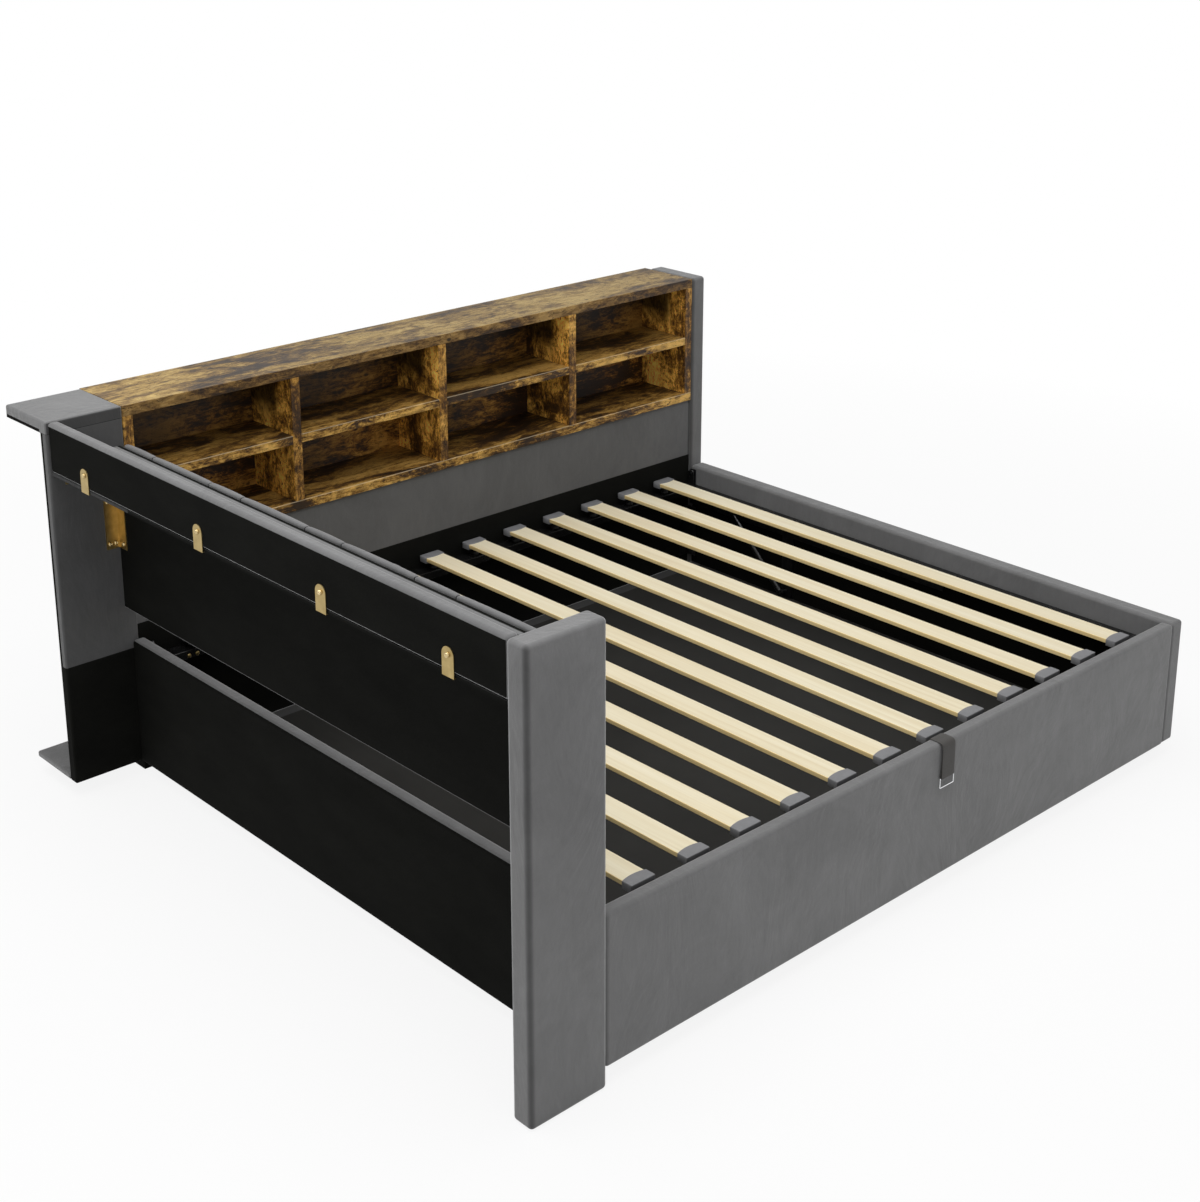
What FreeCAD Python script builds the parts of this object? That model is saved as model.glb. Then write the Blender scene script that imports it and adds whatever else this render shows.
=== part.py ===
import FreeCAD, Part

import math
import os
import re

from FreeCAD import Rotation, Vector
from Sketcher import Constraint

# A storage bed with an upholstered frame, a bookcase along its rear side and a
# slatted base that lifts from the front side on two gas springs.
# X runs from the headboard to the foot end, Y from the front side to the
# bookcase, Z up. The frame's origin is the middle of the footprint, on the floor.

os.makedirs("parts", exist_ok=True)
doc = FreeCAD.newDocument("storage_bed")
sheet = doc.addObject("Spreadsheet::Sheet", "Sizes")
nodes = []


# Driving dimensions, in millimetres

SIZES = {
    # Room for the mattress
    "mattress_length_room": 2157,
    "mattress_width_room": 1862.7,

    # Posts and column
    "post_width": 213,
    "post_thickness": 60,
    "post_height": 1080,
    "post_round": 11,
    "right_post_lap": 3,
    "column_inset": 1,
    "column_width": 221,
    "column_depth": 223,
    "column_panel": 34.5,
    "column_top": 33.5,
    "column_base": 18,
    "column_round": 6,

    # Rails
    "rail_clearance": 42,
    "rail_height": 370,
    "rail_thickness": 38,
    "rail_round": 10,
    "front_rail_inset": 6.3,
    "end_rail_inset": 9,
    "rail_joint_gap": 2,
    "left_rail_inset": 200,

    # Headboard
    "beam_inset": 6.5,
    "beam_thickness": 31.5,
    "beam_height": 136,
    "ledge_thickness": 8,
    "ledge_setback": 2,
    "board_setback": 187,
    "board_thickness": 21,
    "board_drop": 108,
    "board_height": 458,
    "cushion_face": 233,
    "cushion_rise": 5,
    "cushion_crown": 8,
    "cushion_edge": 16,
    "narrow_channel": 146,
    "wide_channel": 275,
    "cushion_end_gap": 20,
    "soft_clearance": 0.3,
    "end_panel_thickness": 18,

    # Headboard fittings
    "hook_width": 38,
    "hook_metal": 2,
    "hook_height": 45,
    "hook_leg": 46,
    "hook_screw_drop": 18,
    "angle_leg": 40,
    "angle_metal": 3,
    "angle_height": 152,
    "angle_rise": 176,
    "rail_angle_top": 262,
    "small_angle_leg": 34,
    "small_angle_width": 22,
    "small_angle_setback": 44,
    "screw_radius": 6,
    "screw_height": 2.4,
    "screw_margin": 16,

    # Bookcase
    "bookcase_end_lap": 6,
    "bookcase_depth": 230,
    "bookcase_height": 429,
    "board": 30,
    "bottom_board": 28,
    "middle_shelf": 26,
    "shelf_drop": 201,
    "bookcase_top_gap": 1,
    "back_board": 12,
    "back_inset": 6,
    "wood_round": 1.2,
    "rear_panel_recess": 5,
    "rear_panel_thickness": 18,
    "support_thickness": 30,

    # Storage floor
    "floor_board": 12,
    "floor_gap": 18,
    "foot_radius": 25,
    "foot_setback": 120,

    # Lift frame
    "tube_width": 48,
    "tube_height": 25,
    "tube_round": 2,
    "tube_top": 350,
    "frame_side_gap": 8,
    "frame_front_gap": 5.7,
    "frame_rear_gap": 3,
    "slat_count": 12,
    "slat_end_margin": 141.8,
    "slat_width": 66,
    "slat_thickness": 12.5,
    "slat_round": 2,
    "slat_end_depth": 30,
    "cap_front_inset": 24,
    "cap_rear_inset": 4,
    "cap_width": 72,
    "cap_length": 40,
    "cap_height": 20,
    "cap_bulge": 10,
    "cap_cover": 2,
    "peg_height": 24,
    "peg_radius": 8,
    "socket_clearance": 0.2,

    # Lift hinge
    "hinge_setback": 20,
    "hinge_height": 387,
    "hinge_pin_radius": 6,
    "hinge_plate": 4,
    "hinge_lug": 6,
    "hinge_lug_width": 24,
    "hinge_lug_gap": 2,
    "running_clearance": 0.05,

    # Gas springs
    "spring_foot_reach": 447,
    "spring_foot_height": 80,
    "spring_head_reach": 220,
    "spring_head_height": 303,
    "spring_radius": 11,
    "spring_length": 215,
    "spring_eye_gap": 14,
    "rod_radius": 5,
    "rod_start": 30,
    "eye_radius": 11,
    "eye_width": 14,
    "stud_radius": 5,
    "spring_plate_width": 48,
    "bar_reach": 1090,
    "bar_bottom": 272,
    "bar_height": 25,
    "bar_bolt_one": 607,
    "bar_bolt_two": 919,
    "open_pivot_gap": 0.5,
    "bracket_metal": 5,
    "bracket_width": 70,

    # Pull strap
    "strap_offset": 53.5,
    "strap_width": 50,
    "strap_thickness": 1.6,
    "strap_gap": 1,
    "strap_standoff": 8,
    "strap_lap": 16,
    "strap_fold": 46,
    "ring_width": 56,
    "ring_height": 28,
    "ring_wire": 1.3,
    "ring_corner": 2,
    "ring_drop": 92,
    "ring_clearance": 0.3,

    # Cuts
    "overrun": 5,
}
for row, (name, number) in enumerate(SIZES.items(), 1):
    sheet.set(f"A{row}", name)
    sheet.set(f"B{row}", str(number))
    sheet.setAlias(f"B{row}", name)
doc.recompute()


def mm(name):
    """The number in a named cell."""
    return float(sheet.get(name))


def bound(expression):
    """Points every size's name in an expression at the sheet."""
    def cell(word):
        text = word.group(0)
        return "Sizes." + text if text in SIZES else text
    return re.sub(r"[a-z][a-z_]*", cell, expression)


# Planes that several pieces share, as expressions of the sizes

front_rail_y = "front_rail_inset"
front_rail_back = "(front_rail_inset + rail_thickness)"
panel_y = f"({front_rail_back} + mattress_width_room)"
rear_y = f"({panel_y} - rear_panel_recess)"
left_rail_back = "(left_rail_inset + rail_thickness)"
end_rail_x = "(cushion_face + mattress_length_room)"
rail_top = "(rail_clearance + rail_height)"
column_back_x = "(column_inset + column_width)"
bookcase_end_x = f"({end_rail_x} - bookcase_end_lap)"
bookcase_length = f"({bookcase_end_x} - {column_back_x})"
book_top = "(post_height - bookcase_top_gap)"
bookcase_bottom = f"({book_top} - bookcase_height)"
board_back_x = "(board_setback + board_thickness)"
beam_back_x = "(beam_inset + beam_thickness)"
beam_bottom = "(post_height - beam_height)"
board_top = "(post_height - board_drop)"
board_bottom = f"({board_top} - board_height)"
ledge_bottom = f"({beam_bottom} - ledge_thickness)"
frame_front_y = f"({front_rail_back} + frame_front_gap)"
frame_rear_y = f"({panel_y} - frame_rear_gap)"
frame_left_x = f"({left_rail_back} + frame_side_gap)"
frame_right_x = f"({end_rail_x} - frame_side_gap)"
hinge_y = f"({panel_y} - hinge_setback)"
slat_bottom = "(tube_top + peg_height + cap_height - cap_cover - slat_thickness)"
overall_length = f"({bookcase_end_x} + post_thickness)"
strap_middle = f"((post_width + rail_joint_gap + {end_rail_x}) / 2 + strap_offset)"
strap_front_y = "(front_rail_inset - strap_standoff - strap_thickness / 2)"
middle_x = f"({overall_length} / 2)"
middle_y = f"(({rear_y} + bookcase_depth + {strap_front_y}) / 2)"


# Building blocks

def place(piece, x, y, z):
    """Binds a piece's place, measured from the front corner post's outer corner."""
    piece.setExpression("Placement.Base.x", bound(f"{x} - {middle_x}"))
    piece.setExpression("Placement.Base.y", bound(f"{y} - {middle_y}"))
    piece.setExpression("Placement.Base.z", bound(z))


def keep(piece, name):
    """Marks a finished sub-part under its own name."""
    piece.Label = name
    nodes.append(piece)
    return piece


def box(name, x, y, z):
    """A block between three pairs of planes."""
    block = doc.addObject("Part::Box", name)
    for side, (start, end) in zip(("Length", "Width", "Height"), (x, y, z)):
        block.setExpression(side, bound(f"({end}) - ({start})"))
    place(block, x[0], y[0], z[0])
    return block


def cylinder(name, radius, height, at, axis):
    """A round bar from a point along an axis."""
    bar = doc.addObject("Part::Cylinder", name)
    bar.setExpression("Radius", bound(radius))
    bar.setExpression("Height", bound(height))
    bar.Placement.Rotation = Rotation(Vector(0, 0, 1), axis)
    place(bar, *at)
    return bar


def joined(name, kind, pieces):
    """A boolean or a group of the pieces: Part::MultiFuse or Part::Compound."""
    group = doc.addObject(kind, name)
    if kind == "Part::Compound":
        group.Links = pieces
    else:
        group.Shapes = pieces
    return group


def cut(name, base, tool):
    """The base less the tool."""
    result = doc.addObject("Part::Cut", name)
    result.Base = base
    result.Tool = tool
    return result


def origin_plane(body, role):
    """One of a body's own origin planes or axes."""
    for feature in body.Origin.OriginFeatures:
        if feature.Role == role:
            return feature
    raise ValueError(role)


def rectangle(sketch, width, height):
    """A rectangle with one corner at the sketch's origin."""
    corners = [Vector(0, 0, 0), Vector(1, 0, 0), Vector(1, 1, 0), Vector(0, 1, 0)]
    for number in range(4):
        start = corners[number]
        end = corners[(number + 1) % 4]
        sketch.addGeometry(Part.LineSegment(start, end))
    for number in range(4):
        sketch.addConstraint(Constraint("Coincident", number, 2, (number + 1) % 4, 1))
    sketch.addConstraint(Constraint("Horizontal", 0))
    sketch.addConstraint(Constraint("Horizontal", 2))
    sketch.addConstraint(Constraint("Vertical", 1))
    sketch.addConstraint(Constraint("Vertical", 3))
    sketch.addConstraint(Constraint("Coincident", 0, 1, -1, 1))
    wide = sketch.addConstraint(Constraint("DistanceX", 0, 1, 0, 2, 1))
    high = sketch.addConstraint(Constraint("DistanceY", 1, 1, 1, 2, 1))
    sketch.setExpression(f"Constraints[{wide}]", bound(width))
    sketch.setExpression(f"Constraints[{high}]", bound(height))


def edges_off_seam(shape, seam):
    """Names of a block's edges, without those round the end where the next piece is sewn on."""
    end = {"top": shape.BoundBox.ZMax, "bottom": shape.BoundBox.ZMin}[seam]
    reach = abs(end - shape.CenterOfMass.z) / 2
    return [f"Edge{number}" for number, edge in enumerate(shape.Edges, 1)
            if abs(end - edge.CenterOfMass.z) > reach]


def rounded_block(name, x, y, z, radius, seam=None):
    """A board or post with its edges rounded, but sharp round a sewn end, as a body of its own."""
    body = doc.addObject("PartDesign::Body", name)
    sketch = body.newObject("Sketcher::SketchObject", name + "_outline")
    sketch.AttachmentSupport = (origin_plane(body, "XY_Plane"), [""])
    sketch.MapMode = "FlatFace"
    rectangle(sketch, f"({x[1]}) - ({x[0]})", f"({y[1]}) - ({y[0]})")
    pad = body.newObject("PartDesign::Pad", name + "_pad")
    pad.Profile = sketch
    pad.setExpression("Length", bound(f"({z[1]}) - ({z[0]})"))
    doc.recompute([pad])
    fillet = body.newObject("PartDesign::Fillet", name + "_round")
    fillet.Base = (pad, edges_off_seam(pad.Shape, seam) if seam else [""])
    fillet.UseAllEdges = seam is None
    fillet.setExpression("Radius", bound(radius))
    body.Tip = fillet
    place(body, x[0], y[0], z[0])
    return body


ALONG_X = Vector(1, 0, 0)
AGAINST_X = Vector(-1, 0, 0)
ALONG_Y = Vector(0, 1, 0)
AGAINST_Y = Vector(0, -1, 0)
ALONG_Z = Vector(0, 0, 1)


# Corner posts: one at the front of the headboard, one at the far end of the bookcase

keep(rounded_block("front_left_post",
                   ("0", "post_width"),
                   ("0", "post_thickness"),
                   ("0", "post_height"), "post_round"), "front_left_post")
right_post_y = f"({rear_y} - right_post_lap)"
keep(rounded_block("rear_right_post",
                   (bookcase_end_x, f"{bookcase_end_x} + post_thickness"),
                   (right_post_y, f"{right_post_y} + post_width"),
                   ("0", "post_height"), "post_round"), "rear_right_post")


# Rails round the storage space

keep(rounded_block("front_rail",
                   ("post_width + rail_joint_gap", end_rail_x),
                   (front_rail_y, front_rail_back),
                   ("rail_clearance", rail_top), "rail_round"), "front_rail")
keep(rounded_block("end_rail",
                   (end_rail_x, overall_length),
                   ("end_rail_inset", right_post_y),
                   ("rail_clearance", rail_top), "rail_round"), "end_rail")
keep(rounded_block("left_rail",
                   ("left_rail_inset", left_rail_back),
                   ("post_thickness", rear_y),
                   ("rail_clearance", rail_top), "rail_round"), "left_rail")


# Headboard: a top beam, a ledge behind it, and a padded board hung from the ledge

keep(rounded_block("headboard_beam",
                   ("beam_inset", beam_back_x),
                   ("post_thickness", rear_y),
                   (beam_bottom, "post_height"), "rail_round"), "headboard_beam")
keep(box("headboard_ledge",
         ("beam_inset + ledge_setback", "board_setback"),
         ("post_thickness", rear_y),
         (ledge_bottom, beam_bottom)), "headboard_ledge")
keep(box("headboard_board",
         ("board_setback", board_back_x),
         ("post_thickness", rear_y),
         (board_bottom, board_top)), "headboard_board")
keep(box("headboard_end_panel",
         (beam_back_x, "board_setback"),
         ("post_thickness", "post_thickness + end_panel_thickness"),
         ("rail_clearance", ledge_bottom)), "headboard_end_panel")


def cushion_section(depth, crown, length, height):
    """The cushion's outline at one height: a flat back and one arc for each channel."""
    seams = [0.0]
    widths = [mm("narrow_channel"), mm("wide_channel")]
    while seams[-1] + widths[(len(seams) - 1) % 2] < length:
        seams.append(seams[-1] + widths[(len(seams) - 1) % 2])
    seams.append(length)
    corner = Vector(0, 0, height)
    far = Vector(0, -length, height)
    edges = [Part.makeLine(far, corner), Part.makeLine(corner, Vector(depth, 0, height))]
    for start, end in zip(seams, seams[1:]):
        left = Vector(depth, -start, height)
        top = Vector(depth + crown, -(start + end) / 2, height)
        right = Vector(depth, -end, height)
        edges.append(Part.Arc(left, top, right).toShape())
    edges.append(Part.makeLine(Vector(depth, -length, height), far))
    return Part.Wire(edges)


def cushion_shape():
    """A loft through the outlines, drawn in at the top and the bottom edge."""
    height = mm("board_height") + mm("cushion_rise")
    length = mm("front_rail_inset") + mm("rail_thickness") + mm("mattress_width_room")
    length -= mm("rear_panel_recess") + mm("post_thickness")
    length -= mm("cushion_end_gap") + mm("soft_clearance")
    crown = mm("cushion_crown")
    depth = mm("cushion_face") - mm("board_setback") - mm("board_thickness") - crown
    depth -= mm("soft_clearance")
    edge = mm("cushion_edge")
    drawn_shares = [0.55, 0.86, 1.0, 1.0, 0.86, 0.55]
    levels = [0, edge / 3, edge, height - edge, height - edge / 3, height]
    wires = []
    for share, level in zip(drawn_shares, levels):
        wires.append(cushion_section(depth * share, crown * share, length, level))
    return Part.makeLoft(wires, True, True)


cushion = doc.addObject("Part::Feature", "headboard_cushion")
cushion.Shape = cushion_shape()
place(cushion, f"{board_back_x} + soft_clearance", f"{rear_y} - cushion_end_gap", board_bottom)
keep(cushion, "headboard_cushion")


# Gilt hooks that hold the ledge under the beam, angles and their screws

def hook(name, distance):
    """A plate with a round top on the beam's outer face and a leg under the ledge."""
    middle = f"(post_thickness + {distance})"
    side = (f"{middle} - hook_width / 2", f"{middle} + hook_width / 2")
    face = ("beam_inset - hook_metal", "beam_inset")
    foot = f"({ledge_bottom} - hook_metal)"
    round_z = f"({foot} + hook_height + hook_metal)"
    plate = box(name + "_plate", face, side, (foot, round_z))
    top = cylinder(name + "_top", "hook_width / 2", "hook_metal",
                   (face[0], middle, round_z), ALONG_X)
    leg = box(name + "_leg", ("beam_inset - hook_metal", "beam_inset + hook_leg"), side,
              (foot, ledge_bottom))
    return joined(name, "Part::MultiFuse", [plate, top, leg])


def screw(name, at, axis):
    """A low round screw head that stands on a face."""
    return cylinder(name, "screw_radius", "screw_height", at, axis)


hooks = []
screws = []
hook_place_shares = (0.1, 0.338, 0.608, 0.9)
for number, share in enumerate(hook_place_shares, 1):
    distance = f"{share} * ({rear_y} - post_thickness)"
    hooks.append(hook(f"hook_{number}", distance))
    screws.append(screw(f"hook_screw_{number}",
                        ("beam_inset - hook_metal", f"post_thickness + {distance}",
                         f"{ledge_bottom} + hook_height + hook_width / 2 - hook_screw_drop"),
                        AGAINST_X))
keep(joined("hook_plates", "Part::Compound", hooks), "hook_plates")


angle_bottom = f"({board_bottom} + angle_rise)"


def corner_angle(name, face_y, step):
    """An upright angle between the padded board and the panel across its end."""
    upright = (angle_bottom, f"{angle_bottom} + angle_height")
    reach = ("board_setback - angle_leg", "board_setback")
    metal = ("board_setback - angle_metal", "board_setback")
    if step < 0:
        flat = (f"{face_y} - angle_metal", face_y)
        side = (f"{face_y} - angle_leg", face_y)
    else:
        flat = (face_y, f"{face_y} + angle_metal")
        side = (face_y, f"{face_y} + angle_leg")
    return joined(name, "Part::MultiFuse",
                  [box(name + "_one", reach, flat, upright),
                   box(name + "_two", metal, side, upright)])


def corner_angle_screws(name, face_y, step):
    """Four screw heads on the flat leg and two on the other."""
    out = AGAINST_Y if step < 0 else ALONG_Y
    sign = "-" if step < 0 else "+"
    heads = []
    for end, level in (("low", f"{angle_bottom} + screw_margin"),
                       ("high", f"{angle_bottom} + angle_height - screw_margin")):
        for place_name, across in (("near", "angle_leg / 3"), ("far", "angle_leg * 3 / 4")):
            heads.append(screw(f"{name}_{end}_{place_name}",
                               (f"board_setback - {across}", f"{face_y} {sign} angle_metal", level), out))
        heads.append(screw(f"{name}_{end}_side",
                           ("board_setback - angle_metal", f"{face_y} {sign} angle_leg * 2 / 3", level),
                           AGAINST_X))
    return heads


end_panel_y = "(post_thickness + end_panel_thickness)"
small_x = ("small_angle_setback", "small_angle_setback + small_angle_width")
small_angle = joined("small_angle", "Part::MultiFuse", [
    box("small_angle_down", small_x, (f"{rear_y} - angle_metal", rear_y),
        (f"{ledge_bottom} - small_angle_leg", ledge_bottom)),
    box("small_angle_under", small_x, (f"{rear_y} - small_angle_leg", rear_y),
        (f"{ledge_bottom} - angle_metal", ledge_bottom)),
])
angles = [corner_angle("rear_angle", rear_y, -1), corner_angle("front_angle", end_panel_y, 1), small_angle]
keep(joined("corner_brackets", "Part::Compound", angles), "corner_brackets")
screws += corner_angle_screws("rear_angle_screw", rear_y, -1)
screws += corner_angle_screws("front_angle_screw", end_panel_y, 1)
keep(joined("headboard_screws", "Part::Compound", screws), "headboard_screws")


# Open column at the rear of the headboard

column_x = ("column_inset", column_back_x)
column_top_z = "(post_height - column_top)"
keep(rounded_block("column_front_panel", column_x,
                   (rear_y, f"{rear_y} + column_panel"),
                   ("rail_clearance", column_top_z), "column_round", "top"), "column_front_panel")
keep(rounded_block("column_top_plate", column_x,
                   (rear_y, f"{rear_y} + column_depth"),
                   (column_top_z, "post_height"), "column_round", "bottom"), "column_top_plate")
keep(rounded_block("column_base_plate", column_x,
                   (f"{rear_y} + column_panel", f"{rear_y} + column_depth"),
                   ("rail_clearance", "rail_clearance + column_base"), "column_round"), "column_base_plate")


# Bookcase and the panel below it

book_y = (rear_y, f"{rear_y} + bookcase_depth")
inner_y = (rear_y, f"{rear_y} + bookcase_depth - back_inset - back_board")
inner_top = f"({book_top} - board)"
inner_bottom = f"({bookcase_bottom} + bottom_board)"
inner_left = f"({column_back_x} + board)"
bay = f"(({bookcase_length} - 5 * board) / 4)"
shelf_top = f"({book_top} - shelf_drop)"


def wood_board(name, x, y, z):
    """A wooden board with its edges just broken."""
    return keep(rounded_block(name, x, y, z, "wood_round"), name)


wood_board("bookcase_top", (column_back_x, bookcase_end_x), book_y, (inner_top, book_top))
wood_board("bookcase_bottom", (column_back_x, bookcase_end_x), book_y, (bookcase_bottom, inner_bottom))
wood_board("bookcase_left_side", (column_back_x, inner_left), book_y, (inner_bottom, inner_top))
wood_board("bookcase_right_side", (f"{bookcase_end_x} - board", bookcase_end_x), book_y,
           (inner_bottom, inner_top))
for number in range(1, 4):
    start = f"({inner_left} + {number} * {bay} + {number - 1} * board)"
    wood_board(f"bookcase_divider_{number}", (start, f"{start} + board"), inner_y,
               (inner_bottom, inner_top))
for number in range(1, 5):
    start = f"({inner_left} + {number - 1} * ({bay} + board))"
    wood_board(f"bookcase_shelf_{number}", (start, f"{start} + {bay}"), inner_y,
               (f"{shelf_top} - middle_shelf", shelf_top))
keep(box("bookcase_back", (inner_left, f"{bookcase_end_x} - board"),
         (inner_y[1], f"{inner_y[1]} + back_board"), (inner_bottom, inner_top)), "bookcase_back")
keep(box("rear_panel", (column_back_x, bookcase_end_x), (panel_y, f"{panel_y} + rear_panel_thickness"),
         ("rail_clearance", bookcase_bottom)), "rear_panel")
support_y = (f"{panel_y} + rear_panel_thickness", inner_y[1])
supports = []
for number in range(3):
    start = f"({column_back_x} + {number} * ({bookcase_length} - support_thickness) / 2)"
    supports.append(box(f"support_{number + 1}", (start, f"{start} + support_thickness"), support_y,
                        ("0", bookcase_bottom)))
keep(joined("bookcase_supports", "Part::Compound", supports), "bookcase_supports")


# Storage floor on round feet

floor_z = ("rail_clearance", "rail_clearance + floor_board")
floor_y = (front_rail_back, f"{panel_y} - floor_gap")
floor_panel = f"(({end_rail_x} - {left_rail_back}) / 3)"
floors = []
for number in range(3):
    start = f"({left_rail_back} + {number} * {floor_panel})"
    floors.append(box(f"floor_{number + 1}", (start, f"{start} + {floor_panel}"), floor_y, floor_z))
keep(joined("storage_floor", "Part::Compound", floors), "storage_floor")


def foot(name, x, y):
    """A round foot between the floor and a board above it."""
    return cylinder(name, "foot_radius", "rail_clearance", (x, y, "0"), ALONG_Z)


feet = [foot("column_foot", f"{column_back_x} / 2", f"{rear_y} + column_depth - foot_setback / 2"),
        foot("end_panel_foot", f"({beam_back_x} + board_setback) / 2", "post_thickness + foot_radius")]
for column in range(4):
    for row in range(3):
        x = (f"{left_rail_back} + foot_setback + {column}"
             f" * ({end_rail_x} - {left_rail_back} - 2 * foot_setback) / 3")
        y = (f"{front_rail_back} + foot_setback + {row}"
             f" * ({floor_y[1]} - {front_rail_back} - 2 * foot_setback) / 2")
        feet.append(foot(f"foot_{column}_{row}", x, y))
keep(joined("floor_feet", "Part::Compound", feet), "floor_feet")


# Steel angles in the corners of the storage space

def rail_angle(name, face_x, x_sign, face_y, y_sign):
    """An upright angle with one leg on a side rail and one on a long side."""
    upright = ("rail_clearance + angle_leg", "rail_angle_top")
    if x_sign > 0:
        metal_x = (face_x, f"{face_x} + angle_metal")
        leg_x = (face_x, f"{face_x} + angle_leg")
    else:
        metal_x = (f"{face_x} - angle_metal", face_x)
        leg_x = (f"{face_x} - angle_leg", face_x)
    if y_sign > 0:
        metal_y = (face_y, f"{face_y} + angle_metal")
        leg_y = (face_y, f"{face_y} + angle_leg")
    else:
        metal_y = (f"{face_y} - angle_metal", face_y)
        leg_y = (f"{face_y} - angle_leg", face_y)
    return joined(name, "Part::MultiFuse", [
        box(name + "_one", metal_x, leg_y, upright),
        box(name + "_two", leg_x, metal_y, upright),
    ])


def rail_angle_bolts(name, face_x, x_sign, face_y, y_sign):
    """Two bolt heads on each leg of an upright angle."""
    x_word = "+" if x_sign > 0 else "-"
    y_word = "+" if y_sign > 0 else "-"
    heads = []
    for end, level in (("low", "rail_clearance + angle_leg + screw_margin"),
                       ("high", "rail_angle_top - screw_margin")):
        heads.append(screw(f"{name}_{end}_side",
                           (f"{face_x} {x_word} angle_metal", f"{face_y} {y_word} angle_leg * 2 / 3", level),
                           Vector(x_sign, 0, 0)))
        heads.append(screw(f"{name}_{end}_long",
                           (f"{face_x} {x_word} angle_leg * 2 / 3", f"{face_y} {y_word} angle_metal", level),
                           Vector(0, y_sign, 0)))
    return heads


corners = (
    ("front_left_angle", left_rail_back, 1, front_rail_back, 1),
    ("front_right_angle", end_rail_x, -1, front_rail_back, 1),
    ("rear_left_angle", left_rail_back, 1, panel_y, -1),
    ("rear_right_angle", bookcase_end_x, -1, panel_y, -1),
)
rail_angles = [rail_angle(*corner) for corner in corners]
keep(joined("rail_brackets", "Part::Compound", rail_angles), "rail_brackets")
bolts = []
for corner in corners:
    bolts += rail_angle_bolts(*corner)


# Lift frame: four steel tubes, twelve slats in capped ends

tube_z = ("tube_top - tube_height", "tube_top")
inner_front = f"({frame_front_y} + tube_width)"
inner_rear = f"({frame_rear_y} - tube_width)"
keep(rounded_block("lift_tube_front", (frame_left_x, frame_right_x), (frame_front_y, inner_front),
                   tube_z, "tube_round"), "lift_tube_front")
keep(rounded_block("lift_tube_rear", (frame_left_x, frame_right_x), (inner_rear, frame_rear_y),
                   tube_z, "tube_round"), "lift_tube_rear")
keep(rounded_block("lift_tube_left", (frame_left_x, f"{frame_left_x} + tube_width"),
                   (inner_front, inner_rear), tube_z, "tube_round"), "lift_tube_left")
keep(rounded_block("lift_tube_right", (f"{frame_right_x} - tube_width", frame_right_x),
                   (inner_front, inner_rear), tube_z, "tube_round"), "lift_tube_right")

cap_front_y = f"({frame_front_y} + cap_front_inset)"
cap_rear_y = f"({frame_rear_y} - cap_rear_inset)"
slat_y = (f"{cap_front_y} + cap_length - slat_end_depth", f"{cap_rear_y} - cap_length + slat_end_depth")
slat_z = (slat_bottom, f"{slat_bottom} + slat_thickness")


slat_pitch = f"(({frame_right_x} - {frame_left_x} - 2 * slat_end_margin) / (slat_count - 1))"


def slat_middle(number):
    """The middle of a slat along the bed, numbered from the headboard."""
    return f"({frame_left_x} + slat_end_margin + ({number} - 1) * {slat_pitch})"


def cap(name, middle, outer, direction):
    """A moulded slat holder with a bowed inner edge, a socket and a peg below."""
    width = ("-cap_width / 2", "cap_width / 2")
    side = (f"{middle} {width[0]}", f"{middle} + {width[1]}")
    base = "(tube_top + peg_height)"
    level = (base, f"{base} + cap_height")
    bow_radius = "((cap_width / 2) ^ 2 / cap_bulge + cap_bulge) / 2"
    if direction > 0:
        block_y = (outer, f"{outer} + cap_length - cap_bulge")
        bow_y = f"{outer} + cap_length - {bow_radius}"
        peg_y = f"{outer} + cap_length / 2"
    else:
        block_y = (f"{outer} - cap_length + cap_bulge", outer)
        bow_y = f"{outer} - cap_length + {bow_radius}"
        peg_y = f"{outer} - cap_length / 2"
    block = box(name + "_block", side, block_y, level)
    disc = cylinder(name + "_disc", bow_radius, "cap_height", (middle, bow_y, base), ALONG_Z)
    if direction > 0:
        window_y = (f"{block_y[1]} - cap_bulge / 2", f"{outer} + cap_length + overrun")
    else:
        window_y = (f"{outer} - cap_length - overrun", f"{block_y[0]} + cap_bulge / 2")
    window = box(name + "_window", side, window_y, level)
    bow = doc.addObject("Part::Common", name + "_bow")
    bow.Base = disc
    bow.Tool = window
    peg = cylinder(name + "_peg", "peg_radius", "peg_height + cap_cover", (middle, peg_y, "tube_top"), ALONG_Z)
    whole = joined(name + "_whole", "Part::MultiFuse", [block, bow, peg])
    room = "socket_clearance"
    socket_x = (f"{middle} - slat_width / 2 - {room}", f"{middle} + slat_width / 2 + {room}")
    if direction > 0:
        socket_y = (f"{slat_y[0]} - {room}", f"{outer} + cap_length + overrun")
    else:
        socket_y = (f"{outer} - cap_length - overrun", f"{slat_y[1]} + {room}")
    socket = box(name + "_socket", socket_x, socket_y, (f"{slat_z[0]} - {room}", f"{slat_z[1]} + {room}"))
    return cut(name, whole, socket)


caps = []
for number in range(1, int(mm("slat_count")) + 1):
    middle = slat_middle(number)
    wide = (f"{middle} - slat_width / 2", f"{middle} + slat_width / 2")
    name = f"slat_{number:02d}"
    keep(rounded_block(name, wide, slat_y, slat_z, "slat_round"), name)
    caps.append(cap(f"cap_front_{number:02d}", middle, cap_front_y, 1))
    caps.append(cap(f"cap_rear_{number:02d}", middle, cap_rear_y, -1))
keep(joined("slat_caps", "Part::Compound", caps), "slat_caps")


# Lift hinge, gas springs and what carries them, the same at both ends of the bed

spring_rise = mm("spring_head_height") - mm("spring_foot_height")
spring_run = mm("spring_foot_reach") - mm("spring_head_reach")
spring_closed = math.hypot(spring_rise, spring_run)
spring_slope = math.degrees(math.atan2(spring_rise, spring_run))
spring_way = Vector(0, spring_run / spring_closed, spring_rise / spring_closed)
foot_y = f"({hinge_y} - spring_foot_reach)"
head_y = f"({hinge_y} - spring_head_reach)"


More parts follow.
